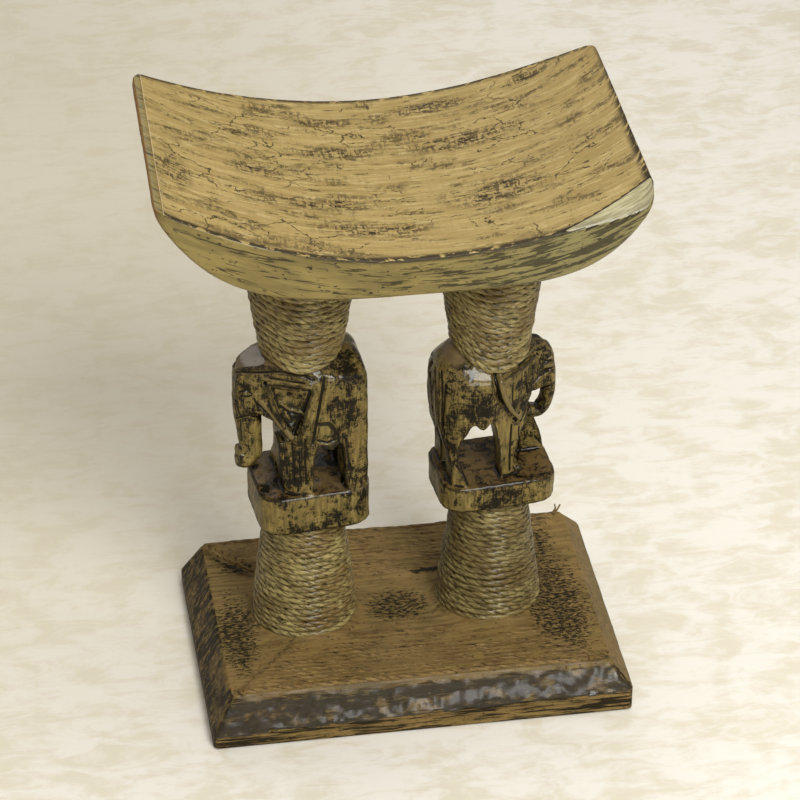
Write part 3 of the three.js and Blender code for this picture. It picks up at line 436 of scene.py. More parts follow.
def rubbed_paint():
    """Olive rubbed through to black at the edges, with painted shade in the cuts and painted highlight on
    the ridges.
    """
    material, tree = new_material("carving_rubbed_paint")
    place = object_place(tree)
    hollow, ledge = stored(tree, "hollow"), stored(tree, "ledge")
    scored, lightened = stored(tree, "scored"), stored(tree, "lightened")
    strokes = noise_at(place, (2.0, 2.0, 14), 5)
    coat = tint(ramp(strokes, 0.36, 0.64), CARVING_DEEP, CARVING_PALE)
    coat = tint(ramp(noise_at(place, (22, 22, 30), 3), 0.42, 0.66, 0.0, 0.6), coat, CARVING_CLOUD)
    coat = tint(both(ledge, 0.8), coat, LEDGE_BROWN)
    blotch = noise_at(place, (7, 7, 9), 5, 0.7, 0.6)
    broad = noise_at(place, (40, 40, 34), 2)
    brush = noise_at(place, (1.0, 1.0, 7), 4, 0.72)
    cross = noise_at(place, (6, 6, 0.9), 3, 0.7)
    level = weighed((blotch, 0.36), (broad, 0.24), (brush, 0.26), (cross, 0.14),
                    (near_any(place, CARVING_DARKS), 0.036), (near_any(place, CARVING_LIGHTS), -0.045))
    # Painted sheen: the upward faces of the listed tops are tinted a paler greyish brown over their own
    # brown, with few dark blotches, under extra varnish.
    tops = both(near_any(place, SHEEN_TOPS), ramp(facing(tree, "Z"), 0.35, 0.6))
    coat = tint(tops, coat, TOP_SHEEN_BROWN)
    shade = both(ramp(level, 0.475, 0.54), ramp(tops, 0.0, 1.0, 1.0, 0.2))
    crest = both(ramp(hollow, -0.42, -0.2, 1.0, 0.0), ramp(strokes, 0.36, 0.5, 0.35, 1.0))
    # Painted shade in the hollows and along the gouge cuts.
    cut = either(ramp(hollow, 0.12, 0.4), ramp(scored, 0.25, 0.75, 0.0, 0.95))
    # Painted highlight: ridges left standing are lightened and kept clear of dark.
    ridge_highlight = ramp(lightened, 0.35, 0.8)
    dark = both(either(shade, both(crest, 0.9), cut), ramp(ridge_highlight, 0.0, 1.0, 0.97, 0.4))
    colour = tint(dark, tint(both(ridge_highlight, 0.22), coat, RIDGE_HIGHLIGHT), CARVING_BLACK)
    coating = both(ramp(facing(tree, "Z"), 0.0, 0.5, 0.08, 0.5), ramp(ledge, 0.0, 1.0, 1.0, 0.3),
                   ramp(tops, 0.0, 1.0, 1.0, 1.7))
    varnished(colour, 0.44, weighed((brush, 0.6), (dark, -0.5)), relief_mm=0.3, varnish=coating,
              varnish_roughness=0.12, shine=0.08)
    return material


carving_paint = rubbed_paint()
print(carving_paint.name, len(carving_paint.node_tree.nodes), "nodes")

# %% [markdown]
# ## The seat
# The board was sawn thick and dished with an adze. Its section changes along its length, so
# a grid is rolled into a tube whose rings are the section at each place, and the two ends
# are closed. The same few sizes as in the CAD source drive the section, in mm.

# %% Seat sizes
SEAT_LENGTH = 339.0
SEAT_END_DEPTH = 193.0
SEAT_FRONT_BOW = 15.5
SEAT_REAR_BOW = 12.5
SEAT_SPLAY = 2.2
SEAT_CORNER = 9.0
SEAT_LOW_X = 5.0
SEAT_DISH = 412.4
SEAT_LEFT_TIP = 457.0
SEAT_RIGHT_TIP = 444.0
SEAT_REAR_LIFT = 8.5
SEAT_UNDERSIDE = 381.5
SEAT_FLAT_X = 12.0
SEAT_LEFT_END = 8.0
SEAT_RIGHT_END = 14.0
SEAT_TOP_EDGE = 1.6
SEAT_LOWER_EDGE = 5.0
SEAT_END_ROUND = 2.5
FACET_RUN = 74.0
FACET_RETURN = 16.0
FACET_DROP = 13.0
FACET_INSET = 3.0
DISH_POWER = 2.05
UNDERSIDE_POWER = 4.7
LEFT_BOW_POWER, RIGHT_BOW_POWER = 2, 4
print("the dish is", round(SEAT_LEFT_TIP - SEAT_DISH, 1), "mm deep under the left tip")

# %% [markdown]
# ### Sections of the board
# The top, the underside and the two long edges are each a curve along the board. A section
# joins them at one place, with a small round on the upper edge and a larger one below.

# %% Sections of the board
TOP_POINTS, EDGE_POINTS, FACE_POINTS, LOWER_POINTS, UNDER_POINTS = 121, 4, 9, 6, 49


def seat_top(x, side):
    """The height of the top at x. side is -1 at the front edge and 1 at the rear edge."""
    left = x < SEAT_LOW_X
    reach = SEAT_LENGTH / 2 + (SEAT_LOW_X if left else -SEAT_LOW_X)
    tip = SEAT_LEFT_TIP if left else SEAT_RIGHT_TIP + SEAT_REAR_LIFT * (side + 1) / 2
    return SEAT_DISH + (tip - SEAT_DISH) * (abs(x - SEAT_LOW_X) / reach) ** DISH_POWER


def seat_underside(x):
    """The height of the underside at x: flat in the middle, swept up at the ends."""
    left = x < SEAT_FLAT_X
    reach = SEAT_LENGTH / 2 + (SEAT_FLAT_X if left else -SEAT_FLAT_X)
    end = SEAT_LEFT_TIP - SEAT_LEFT_END if left else SEAT_RIGHT_TIP - SEAT_RIGHT_END
    return SEAT_UNDERSIDE + (end - SEAT_UNDERSIDE) * (abs(x - SEAT_FLAT_X) / reach) ** UNDERSIDE_POWER


def seat_reach(x, side):
    """How far the board reaches to the front or the rear at x."""
    bow = SEAT_FRONT_BOW if side < 0 else SEAT_REAR_BOW
    past = max(0.0, abs(x) - SEAT_LENGTH / 2 + SEAT_CORNER) / SEAT_CORNER
    corner = SEAT_CORNER * (1 - math.sqrt(max(0.0, 1 - past**2)))
    power = LEFT_BOW_POWER if x < 0 else RIGHT_BOW_POWER
    return SEAT_END_DEPTH / 2 + bow * (1 - abs(2 * x / SEAT_LENGTH) ** power) - corner


def seat_section(x):
    """The board's outline at x as (y, z) pairs, from the front arris over the top and back."""
    past = max(0.0, abs(x) - SEAT_LENGTH / 2 + SEAT_END_ROUND)
    inset = SEAT_END_ROUND - math.sqrt(max(0.0, SEAT_END_ROUND**2 - past**2))
    bottom = seat_underside(x) + inset
    front, rear = seat_reach(x, -1) - inset, seat_reach(x, 1) - inset
    tops = {side: seat_top(x, side) - inset for side in (-1, 1)}
    upper = min(SEAT_TOP_EDGE, (tops[-1] - bottom) / 4)
    lower = min(SEAT_LOWER_EDGE, (tops[-1] - bottom) / 2)
    points = []
    for share in np.linspace(-1, 1, TOP_POINTS):
        y = share * ((rear if share > 0 else front) - upper)
        points.append((y, seat_top(x, share) - inset))
    half = []
    for step in np.linspace(0, math.pi / 2, EDGE_POINTS)[1:]:
        half.append((upper - upper * math.sin(step), "top", upper - upper * math.cos(step)))
    for share in np.linspace(0, 1, FACE_POINTS)[1:-1]:
        half.append((0.0, "face", share))
    for step in np.linspace(0, math.pi / 2, LOWER_POINTS):
        half.append((lower - lower * math.cos(step), "low", lower - lower * math.sin(step)))

    def side_points(side, reach):
        made = []
        high, low = tops[side] - upper, bottom + lower
        for inward, kind, value in half:
            heights = {"top": tops[side] - value, "face": high + (low - high) * value,
                       "low": bottom + value}
            made.append((side * (reach - inward), heights[kind]))
        return made

    under = [(share * ((rear if share > 0 else front) - lower), bottom)
             for share in np.linspace(1, -1, UNDER_POINTS)[1:-1]]
    return points + side_points(1, rear) + under + side_points(-1, front)[::-1]


thickness = seat_top(SEAT_LOW_X, -1) - seat_underside(SEAT_LOW_X)
print("the board is", round(thickness, 1), "mm thick at its lowest")

# %% [markdown]
# ### The board
# The grid keeps each point's place in the grain as it is rolled up, so that the paint can run
# along the board. The rings lie closer together near the ends, where the section changes most.

# %% Seat board
MERGED = 0.00001


def close_holes(bm):
    """Fills each open rim with one face."""
    bmesh.ops.holes_fill(bm, edges=[edge for edge in bm.edges if edge.is_boundary], sides=0)


def mesh_of(bm, name):
    """A new mesh of a bmesh, which is freed."""
    mesh = bpy.data.meshes.new(name)
    bm.to_mesh(mesh)
    bm.free()
    return mesh


def board_from(rings, name, seam):
    """Rolls a grid into a tube through rings of points in mm, and closes its ends.

    Each point keeps its place in the grain: along the board, and across it from the front
    arris, counted backwards down the front face to the seam under the board.
    """
    count, ring = len(rings), len(rings[0])
    bm = bmesh.new()
    bmesh.ops.create_grid(bm, x_segments=count - 1, y_segments=ring, size=0.5)
    grain = bm.verts.layers.float_vector.new("grain")
    around = np.zeros((count, ring + 1))
    for i, points in enumerate(rings):
        steps = [math.dist(points[k], points[(k + 1) % ring]) for k in range(ring)]
        around[i, 1:] = np.cumsum(steps)
    for vert in bm.verts:
        i = round((vert.co.x + 0.5) * (count - 1))
        k = round((vert.co.y + 0.5) * ring)
        across = around[i, k] - (around[i, ring] if k >= seam else 0)
        vert[grain] = (rings[i][0][0] * MM, across * MM, 0)
        vert.co = Vector(rings[i][k % ring]) * MM
    bmesh.ops.remove_doubles(bm, verts=bm.verts, dist=MERGED / 10)
    close_holes(bm)
    bmesh.ops.recalc_face_normals(bm, faces=bm.faces)
    return mesh_of(bm, name)


SEAT_STATIONS = 220
END_CROWDING = 0.35
SEAT_SEAM = 160
half_length = SEAT_LENGTH / 2
crowded = [-half_length * math.cos(math.pi * i / SEAT_STATIONS) for i in range(SEAT_STATIONS + 1)]
stations = [END_CROWDING * x + (1 - END_CROWDING) * half_length * (2 * i / SEAT_STATIONS - 1)
            for i, x in enumerate(crowded)]
splay = SEAT_SPLAY / half_length / (SEAT_END_DEPTH / 2)
seat_rings = [[(x - splay * x * y, y, z) for y, z in seat_section(x)] for x in stations]
seat_mesh = board_from(seat_rings, "seat_board", SEAT_SEAM)
print("the board has", len(seat_rings), "rings of", len(seat_rings[0]), "points")

# %% [markdown]
# ### Points as arrays
# Hand work is moved points. A few helpers read, move and roughen a mesh's points as arrays,
# which is quick for dense meshes, and keep numbers at them for the paint. The last one shows
# a finished mesh in place of CAD nodes.

# %% Points as arrays
def read(items, name, width, kind=float):
    """What a mesh keeps under a name for each of its points, edges or faces, as rows."""
    values = np.empty(len(items) * width, kind)
    items.foreach_get(name, values)
    return values.reshape(-1, width)


def surface_of(mesh):
    """A mesh's points in mm and its normals, as arrays."""
    return read(mesh.vertices, "co", 3) / MM, read(mesh.vertex_normals, "vector", 3)


def reshape(mesh, points):
    """Moves a mesh's points to places in mm."""
    mesh.vertices.foreach_set("co", (points * MM).ravel())
    mesh.update()


def store(mesh, name, values):
    """Keeps one number for each point of a mesh, for its material."""
    kept = mesh.attributes.new(name, "FLOAT", "POINT").data
    kept.foreach_set("value", np.ascontiguousarray(values, np.float32))


def rough(points, size, stretch=(1, 1, 1)):
    """Soft noise from -1 to 1 at points in mm, with lumps of a size in mm."""
    at = points * np.array(stretch) / size
    return np.array([noise.noise(p) for p in at.tolist()])


def ripple(mesh, amount, size, stretch=(1, 1, 1)):
    """Moves a surface in and out by a soft noise, as hand tools leave it."""
    points, normals = surface_of(mesh)
    reshape(mesh, points + normals * (amount * rough(points, size, stretch))[:, None])


def finish_piece(name, mesh, material, slot, *nodes, sharp=None):
    """Makes a shown piece from a mesh in the part's frame, in place of CAD nodes."""
    piece = linked(name, mesh)
    mesh.materials.clear()
    mesh.materials.append(material)
    mesh.shade_smooth()
    if sharp:
        mesh.set_sharp_from_angle(angle=math.radians(sharp))
    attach(piece, "root")
    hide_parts(*nodes)
    print(name, len(mesh.polygons), "faces")


board_points, board_normals = surface_of(seat_mesh)
print("of", len(board_points), "points", int((board_normals[:, 2] > 0.5).sum()), "face up")

# %% [markdown]
# ### The cut corner and the worn ends
# The front right corner is cut to a flat, and the left end is worn down to a narrow strip.
# Points that stand above a plane are moved on to it, which keeps the grid whole. Then two
# soft noises leave the uneven surface of hand work, and each face gets its paint.

# %% Seat shaping
FACET_BLEND = 1.5
END_CHAMFER_X = -166.2
END_CHAMFER_SLOPE = 0.45
EDGE_RISE = 0.55


def cut_facet(mesh, a, b, c):
    """Flattens what stands above the plane through three points in mm, on the right half."""
    a, b, c = (Vector(p) for p in (a, b, c))
    normal = (b - a).cross(c - a).normalized()
    if normal.z < 0:
        normal.negate()
    points, _ = surface_of(mesh)
    over = np.where(points[:, 0] > 0, (points - np.array(a)) @ np.array(normal), 0)
    reshape(mesh, points - np.maximum(over, 0)[:, None] * np.array(normal))
    store(mesh, "facet", np.clip(over / FACET_BLEND, 0, 1))


facet_start = half_length - FACET_RUN
cut_facet(
    seat_mesh,
    (facet_start, -seat_reach(facet_start, -1), seat_top(facet_start, -1)),
    (half_length, FACET_RETURN - SEAT_END_DEPTH / 2, seat_top(half_length, -1)),
    (half_length - FACET_INSET, -SEAT_END_DEPTH / 2, seat_top(half_length, -1) - FACET_DROP),
)


def chamfer_left_end(mesh, along):
    """Slopes the top down to the left end, where the photograph shows a narrow worn strip."""
    points, _ = surface_of(mesh)
    for i in np.flatnonzero(along < END_CHAMFER_X):
        x, y, z = points[i]
        low, high = seat_underside(x), seat_top(x, y / seat_reach(x, 1))
        share = max(0.0, min(1.0, (z - low) / (high - low)))
        points[i, 2] -= (END_CHAMFER_X - along[i]) * END_CHAMFER_SLOPE * share
    reshape(mesh, points)


seat_along = read(seat_mesh.attributes["grain"].data, "vector", 3, np.float32)[:, 0] / MM
chamfer_left_end(seat_mesh, seat_along)
ripple(seat_mesh, amount=0.5, size=45, stretch=(0.5, 1, 1))
ripple(seat_mesh, amount=0.22, size=9, stretch=(0.3, 1, 1))
rims, drops = [], []
for x, y, z in surface_of(seat_mesh)[0].tolist():
    rims.append(min(half_length - abs(x), y + seat_reach(x, -1), seat_reach(x, 1) - y))
    drops.append(seat_top(x, max(-1, min(1, y / seat_reach(x, 1)))) - z)
store(seat_mesh, "rim", rims)
store(seat_mesh, "drop", drops)
finish_piece("seat_board", seat_mesh, seat_paint, "seat_wood", "seat", sharp=50)
seat_mesh.materials.append(seat_face)
ups = read(seat_mesh.polygon_normals, "vector", 3)[:, 2]
starts = [min(seat_along[i] for i in polygon.vertices) for polygon in seat_mesh.polygons]
edge_faces = (ups < EDGE_RISE) | (np.array(starts) < END_CHAMFER_X - 0.01)
seat_mesh.polygons.foreach_set("material_index", edge_faces.astype(np.int32))

# %% [markdown]
# ## The base
# The slab is the CAD solid itself, with its screw holes. Loose triangles can't be shaped, so
# it is cut into a fine grid by planes first.

# %% Base slab
LEFT_X = -61.0
RIGHT_X = 78.5
DRUM_FOOT_RADIUS = 40.5
FIELD_OUTER = (276.0, 94.0)
FIELD_INNER = (168.0, 36.0)
FIELD_CENTRE_X = 13.5
GRID_STEP = 2.6
RIM_STEP = 3.2


def merged_copy(node):
    """A bmesh of a CAD node's mesh with its loose triangles joined."""
    bm = bmesh.new()
    bm.from_mesh(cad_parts[node].data)
    bmesh.ops.remove_doubles(bm, verts=bm.verts, dist=MERGED)
    return bm


def grid_cut(bm, axis, low, high, step):
    """Cuts a solid's faces by parallel planes."""
    for at in np.arange(low + step / 2, high, step):
        point, normal = Vector((0, 0, 0)), Vector((0, 0, 0))
        point[axis] = at * MM
        normal[axis] = 1
        bmesh.ops.bisect_plane(bm, geom=bm.verts[:] + bm.edges[:] + bm.faces[:], dist=MERGED,
                               plane_co=point, plane_no=normal)


base_low, base_high = (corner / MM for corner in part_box("base"))
slab = merged_copy("base")
bmesh.ops.dissolve_limit(slab, angle_limit=math.radians(0.5), verts=slab.verts, edges=slab.edges)
grid_cut(slab, 2, 1.0, base_high.z, RIM_STEP)
grid_cut(slab, 0, base_low.x, base_high.x, GRID_STEP)
grid_cut(slab, 1, base_low.y, base_high.y, GRID_STEP)
base_mesh = mesh_of(slab, "base_slab")
print("the slab's grid has", len(base_mesh.polygons), "faces")

# %% [markdown]
# ### Worked wood, varnish and glue
# The grid's points are moved like worked wood: lumpy varnish on the long bevel, a bed of paint
# and glue under the cords, and a low fillet of it round each drum. The foot and the sockets
# keep their shape.

# %% Base shaping
FOOT_BAND = 1.6
FILLET_START, FILLET_RISE, FILLET_RUN, FILLET_POWER = 2, 4.5, 5.5, 1.3
SOCKET_CLEAR = 9
CORD_BED, BED_EDGE, BED_FADE = 2.3, 3, 4
# Lumps as pairs of an amount and a size in mm, and how much of them the top and sides take.
LUMPS, BEVEL_LUMPS, BED_LUMPS = ((0.5, 9), (0.7, 28)), ((1.1, 6), (0.6, 15)), ((0.5, 12),)
TOP_SHARE, SIDE_SHARE = 0.35, 0.4
LEVEL, FRONTWARD, SLOPING = 0.9, -0.3, 0.2


def lumps(points, pairs):
    """How far lumps of several sizes raise the points, in mm."""
    return sum(amount * rough(points, size) for amount, size in pairs)


def shape_base(mesh):
    """Fillets round the drums, a worn top and lumpy bevels."""
    points, normals = surface_of(mesh)
    lump, fine = lumps(points, LUMPS), lumps(points, BEVEL_LUMPS)
    rise = TOP_SHARE * lump
    free = points[:, 2] > FOOT_BAND
    for px in (LEFT_X, RIGHT_X):
        away = np.hypot(points[:, 0] - px, points[:, 1])
        gap = np.maximum(away - DRUM_FOOT_RADIUS + FILLET_START, 0)
        rise += FILLET_RISE * np.exp(-((gap / FILLET_RUN) ** FILLET_POWER))
        free &= away > SOCKET_CLEAR
    depth = np.abs(points[:, 1])
    share = (depth - FIELD_INNER[1]) / (FIELD_OUTER[1] - FIELD_INNER[1])
    reach = (FIELD_INNER[0] + (FIELD_OUTER[0] - FIELD_INNER[0]) * share) / 2
    inside = np.minimum.reduce([depth - FIELD_INNER[1], FIELD_OUTER[1] - depth,
                                reach - np.abs(points[:, 0] - FIELD_CENTRE_X)])
    rise += (CORD_BED + lumps(points, BED_LUMPS)) * np.clip((inside + BED_EDGE) / BED_FADE, 0, 1)
    upward = free & (normals[:, 2] > LEVEL)
    bevel = free & ~upward & (normals[:, 1] < FRONTWARD) & (normals[:, 2] > SLOPING)
    rest = free & ~upward & ~bevel
    points[upward, 2] += rise[upward]
    points[bevel] += normals[bevel] * fine[bevel, None]
    points[rest] += normals[rest] * (SIDE_SHARE * lump[rest, None])
    reshape(mesh, points)


shape_base(base_mesh)
finish_piece("base_slab", base_mesh, base_paint, "base_wood", "base", sharp=60)

# %% [markdown]
# ## The carved pillars
# Each pillar is one billet. The drum and neck are hidden under cord, so they stay as in the
# CAD, and only the plinth and the elephant are carved finer. The sizes are in mm.

# %% Pillars and gouge strokes
PILLARS = {
    "left": {
        "x": LEFT_X, "facing": -1, "turn": 5.5, "plinth": (135.0, 167.0), "back": 117.0,
        "drum_top": 29.5, "drum_turns": 19, "neck_x": 0.0, "neck": (31.4, 46.5), "neck_turns": 19,
    },
    "right": {
        "x": RIGHT_X, "facing": 1, "turn": 5.0, "plinth": (140.0, 161.5), "back": 112.0,
        "drum_top": 27.2, "drum_turns": 20, "neck_x": -2.2, "neck": (29.8, 44.5), "neck_turns": 21,
    },
}
# Strokes of the gouge, as seen in the photograph: a depth and a width in mm, then places in
# its pixels. A negative depth is a ridge that is left standing. Each one is laid on the near
# side through the camera, and again on the far side of the figure.
STROKES = {
    "left": [
        (1.2, 1.3, [(236, 372), (248, 373), (262, 373), (282, 372), (303, 374), (314, 379)]),
        (-1.2, 1.5, [(262, 378), (272, 380.5), (284, 382), (297, 384.5), (311, 388)]),
        (1.8, 1.8, [(266, 384), (281, 387), (296, 390), (307, 392)]),
        (2.6, 5.0, [(289, 397), (293, 410), (295, 421)]),
        (1.6, 3.0, [(300, 398), (299, 408)]),
        (-1.5, 2.5, [(261, 401), (267, 408.5), (279, 423), (291.5, 437)]),
        (1.6, 1.3, [(258, 405), (267.5, 413.5), (280.5, 431), (289, 439.5)]),
        (-1.2, 1.2, [(281, 403.5), (290, 411.5), (302, 414.5)]),
        (1.4, 1.2, [(281, 406.5), (289.5, 415), (301, 418)]),
        (1.7, 1.4, [(310.5, 389), (307.5, 398), (303, 409), (298, 420), (293.5, 434)]),
        (1.4, 1.4, [(324.5, 379), (321, 401), (316.5, 425), (313, 444)]),
        (0.5, 2.2, [(317, 425), (329, 424), (338, 434)]),
        (1.0, 1.4, [(318, 441), (327, 443), (336, 440)]),
        (1.0, 1.1, [(292, 444), (293, 463), (294, 482)]),
        (1.0, 1.1, [(305.5, 440), (305, 463), (306.5, 484)]),
        (0.8, 1.0, [(299, 454), (300.5, 484)]),
        (0.8, 0.9, [(239.5, 392.5), (245.5, 389.5), (251.5, 394)]),
        (-1.2, 2.0, [(245.5, 393)]),
        (0.8, 0.9, [(241, 396), (246, 397), (251, 396)]),
        (-0.8, 2.6, [(248, 381), (255, 384)]),
        (1.0, 1.1, [(235.5, 418.5), (248, 416), (259.5, 417.5)]),
        (0.9, 1.0, [(235.5, 401), (238, 412), (241, 418.5)]),
        (0.9, 1.0, [(254, 399), (257.5, 408.5)]),
        (0.8, 0.9, [(235, 456), (243, 454)]),
        (-2.2, 2.6, [(238, 447), (240, 452)]),
        (2.2, 2.8, [(257, 462), (254, 466)]),
        (0.8, 1.0, [(240, 421), (241, 441)]),
        (1.1, 1.5, [(338.5, 436), (341, 458), (343, 481)]),
        (0.8, 1.2, [(346, 440), (350, 470)]),
        (0.9, 1.0, [(286, 486), (290, 478)]),
        (0.9, 1.0, [(298, 491), (299, 483)]),
    ],
    "right": [
        (3.0, 1.5, [(495.5, 374), (496.5, 385), (500, 399), (507.5, 411), (517.5, 421)]),
        (-0.5, 2.2, [(499, 376), (500.5, 386), (504, 398), (511, 409.5), (520, 418)]),
        (1.3, 1.2, [(534, 389.5), (530.5, 400), (526, 411), (521.5, 421)]),
        (0.8, 1.0, [(513.5, 386), (513, 399), (515, 411)]),
        (0.7, 1.0, [(526.5, 381), (528, 394)]),
        (-0.9, 1.4, [(499, 373), (510, 370), (517, 367)]),
        (1.2, 1.0, [(531.5, 386), (540, 376.5), (553, 368)]),
        (-1.1, 1.8, [(545, 366), (551, 364.5)]),
        (0.9, 0.8, [(540, 369.5), (545.5, 362.5), (553, 361)]),
        (0.9, 0.8, [(541, 372), (548, 370), (554, 367)]),
        (-0.9, 1.8, [(539, 357)]),
        (-0.9, 1.8, [(546, 352.5)]),
        (-0.8, 1.6, [(551.5, 357)]),
        (0.9, 0.9, [(537, 353.5), (542, 360), (549.5, 361)]),
        (0.8, 0.9, [(543, 351), (548, 357.5), (553, 355)]),
        (1.1, 0.9, [(537.5, 389.5), (544.5, 387), (553.5, 386)]),
        (0.9, 0.9, [(531.5, 398), (536, 392.5), (541, 390)]),
        (0.8, 1.0, [(535, 401), (537.5, 410), (543.5, 414.5)]),
        (1.1, 1.0, [(430, 373), (432, 401), (435, 430)]),
        (1.3, 1.0, [(435, 368), (436, 401), (438, 435)]),
        (1.2, 1.0, [(440.5, 370.5), (441.5, 401), (440.5, 430)]),
        (0.9, 1.0, [(445, 385), (443.5, 409), (442, 432)]),
        (0.7, 4.0, [(443, 351), (447, 356)]),
        (1.0, 1.1, [(512, 425), (510.5, 449), (510, 470)]),
        (0.9, 1.0, [(519.5, 427), (518.5, 449), (517, 460)]),
        (-2.0, 3.0, [(518.5, 468)]),
        (0.8, 1.1, [(446, 440), (450, 470)]),
        (0.9, 1.2, [(456, 466), (462, 474)]),
        (0.9, 1.0, [(535, 437), (541, 443)]),
    ],
}
print("gouge strokes:", {name: len(strokes) for name, strokes in STROKES.items()})

# %% [markdown]
# ### Clay
# A voxel remesh gives an even skin to carve, like clay, and smoothing takes the facets off
# it. The back and rump are rounded more, as the carver's rasp left them.

# %% Clay
VOXEL = 0.85
CLAY_ROUNDS, CLAY_SHARE = 3, 0.5
ROUNDING, ROUNDING_SHARE = 90, 0.6
ROUNDED_FROM, ROUNDED_FADE = 0.42, 0.3
ROUNDED_TO, TOP_FADE = 1.02, 0.04
AHEAD, AHEAD_FADE = 8, 20


def evened(mesh, points, rounds, weight):
    """A mesh's points, moved again and again by a weight towards the mean of their neighbours."""
    first, second = read(mesh.edges, "vertices", 2, int).T
    count = len(points)
    degree = np.bincount(first, minlength=count) + np.bincount(second, minlength=count)
    even = points.copy()
    for _ in range(rounds):
        total = np.stack([np.bincount(first, even[second, k], count)
                          + np.bincount(second, even[first, k], count) for k in range(3)], 1)
        even += weight * (total / degree[:, None] - even)
    return even


def cut_off(bm, height, keep_above):
    """Cuts a solid level at a height in mm and closes the cut."""
    bmesh.ops.bisect_plane(bm, geom=bm.verts[:] + bm.edges[:] + bm.faces[:], dist=MERGED / 10,
                           plane_co=(0, 0, height * MM), plane_no=(0, 0, 1),
                           clear_inner=keep_above, clear_outer=not keep_above)
    close_holes(bm)


def clay(bm, name):
    """An even, softened mesh of a closed bmesh."""
    blank = linked(name, mesh_of(bm, name))
    remesh = blank.modifiers.new("clay", "REMESH")
    remesh.mode = "VOXEL"
    remesh.voxel_size = VOXEL * MM
    soft = blank.modifiers.new("soft", "SMOOTH")
    soft.iterations = CLAY_ROUNDS
    soft.factor = CLAY_SHARE
    graph = bpy.context.evaluated_depsgraph_get()
    made = bpy.data.meshes.new_from_object(blank.evaluated_get(graph))
    bpy.data.objects.remove(blank)
    return made


def figure_turn(pillar):
    """The angle to which a figure faces."""
    return math.radians(pillar["turn"] + (180 if pillar["facing"] < 0 else 0))


def round_off(mesh, pillar, top):
    """Softens the figure's rump and back, where the carver rounded them most."""
    points, _ = surface_of(mesh)
    angle = figure_turn(pillar)
    along = (points[:, 0] - pillar["x"]) * math.cos(angle) + points[:, 1] * math.sin(angle)
    share = (points[:, 2] - top) / pillar["back"]
    upper = np.clip((share - ROUNDED_FROM) / ROUNDED_FADE, 0, 1)
    upper *= np.clip((ROUNDED_TO - share) / TOP_FADE, 0, 1)
    behind = np.clip((AHEAD - along) / AHEAD_FADE, 0, 1)
    reshape(mesh, evened(mesh, points, ROUNDING, ROUNDING_SHARE * (upper * behind)[:, None]))

# %% [markdown]
# ### Gouge
# Each stroke is a row of dots that the camera's rays drop on the figure. The points near a
# dot sink or rise by a soft curve, and remember it for the paint.

# %% Gouge
PHOTO_SIZE = 800
DOT_STEP = 0.8
BROAD = 3
CUT_GAIN = 1.25
DEEPEST, HIGHEST = 4.0, 2.6


def seen(px, py):
    """The direction in which the camera sees a pixel of the photograph."""
    focal = FOCAL_LENGTH / SENSOR_WIDTH * PHOTO_SIZE
    upward = back.cross(right)
    return (right * (px - PHOTO_SIZE / 2) + upward * (PHOTO_SIZE / 2 - py) - back * focal).normalized()


def surface_tree(mesh):
    """A mesh as a tree that rays can be cast on."""
    points = read(mesh.vertices, "co", 3)
    return BVHTree.FromPolygons(points.tolist(), [list(p.vertices) for p in mesh.polygons])


def carve(mesh, pillar, strokes):
    """Cuts strokes into a figure's near side, and mirrored into its far side."""
    tree = surface_tree(mesh)
    points, normals = surface_of(mesh)
    angle = figure_turn(pillar)
    across = np.array([-math.sin(angle), math.cos(angle), 0.0])
    middle = np.array([pillar["x"], 0.0, 0.0])
    change, scored, lightened = (np.zeros(len(points)) for _ in range(3))
    for depth, width, route in strokes:
        dots = [route[0]]
        for (ax, ay), (bx, by) in zip(route, route[1:]):
            count = max(1, round(math.hypot(bx - ax, by - ay) / DOT_STEP))
            dots += [(ax + (bx - ax) * k / count, ay + (by - ay) * k / count) for k in range(1, count + 1)]
        hits = [tree.ray_cast(EYE, seen(*dot))[0] for dot in dots]
        front = np.array([list(hit / MM) for hit in hits if hit])
        if not len(front):
            print("a stroke misses the figure at", route[0])
            continue
        rear = front - 2 * ((front - middle) @ across)[:, None] * across
        for side in (front, rear):
            low, high = side.min(axis=0) - 3 * width, side.max(axis=0) + 3 * width
            picked = np.flatnonzero(((points > low) & (points < high)).all(axis=1))
            gap = np.full(len(picked), np.inf)
            for dot in side:
                gap = np.minimum(gap, np.linalg.norm(points[picked] - dot, axis=1))
            shape = np.exp(-((gap / width) ** 2))
            change[picked] -= depth * shape
            # Cuts are kept for the paint's painted shade, and ridges left standing for its painted
            # highlight.
            if width < BROAD:
                kind = lightened if depth < 0 else scored
                kind[picked] = np.maximum(kind[picked], shape)
    reshape(mesh, points + normals * np.clip(CUT_GAIN * change, -DEEPEST, HIGHEST)[:, None])
    store(mesh, "scored", scored * (1 - lightened))
    store(mesh, "lightened", lightened)

# %% [markdown]
# ### The two figures
# Each figure is cut from its billet, carved, and stored with what its paint needs: how hollow
# each place is, where the plinth's ledge lies, and where the gouge cut or left a ridge.

# %% Carvings
CROWN_ABOVE = 5
CUT_INSET = 0.1
FINE_ROUNDS, BROAD_ROUNDS = 6, 30
LEDGE_BAND = 4
LEDGE_FROM, LEDGE_FADE = 0.6, 0.2


def hollows(mesh, rounds):
    """How far each point lies under the average of the surface round it, in mm."""
    points, normals = surface_of(mesh)
    return ((evened(mesh, points, rounds, 0.5) - points) * normals).sum(axis=1)


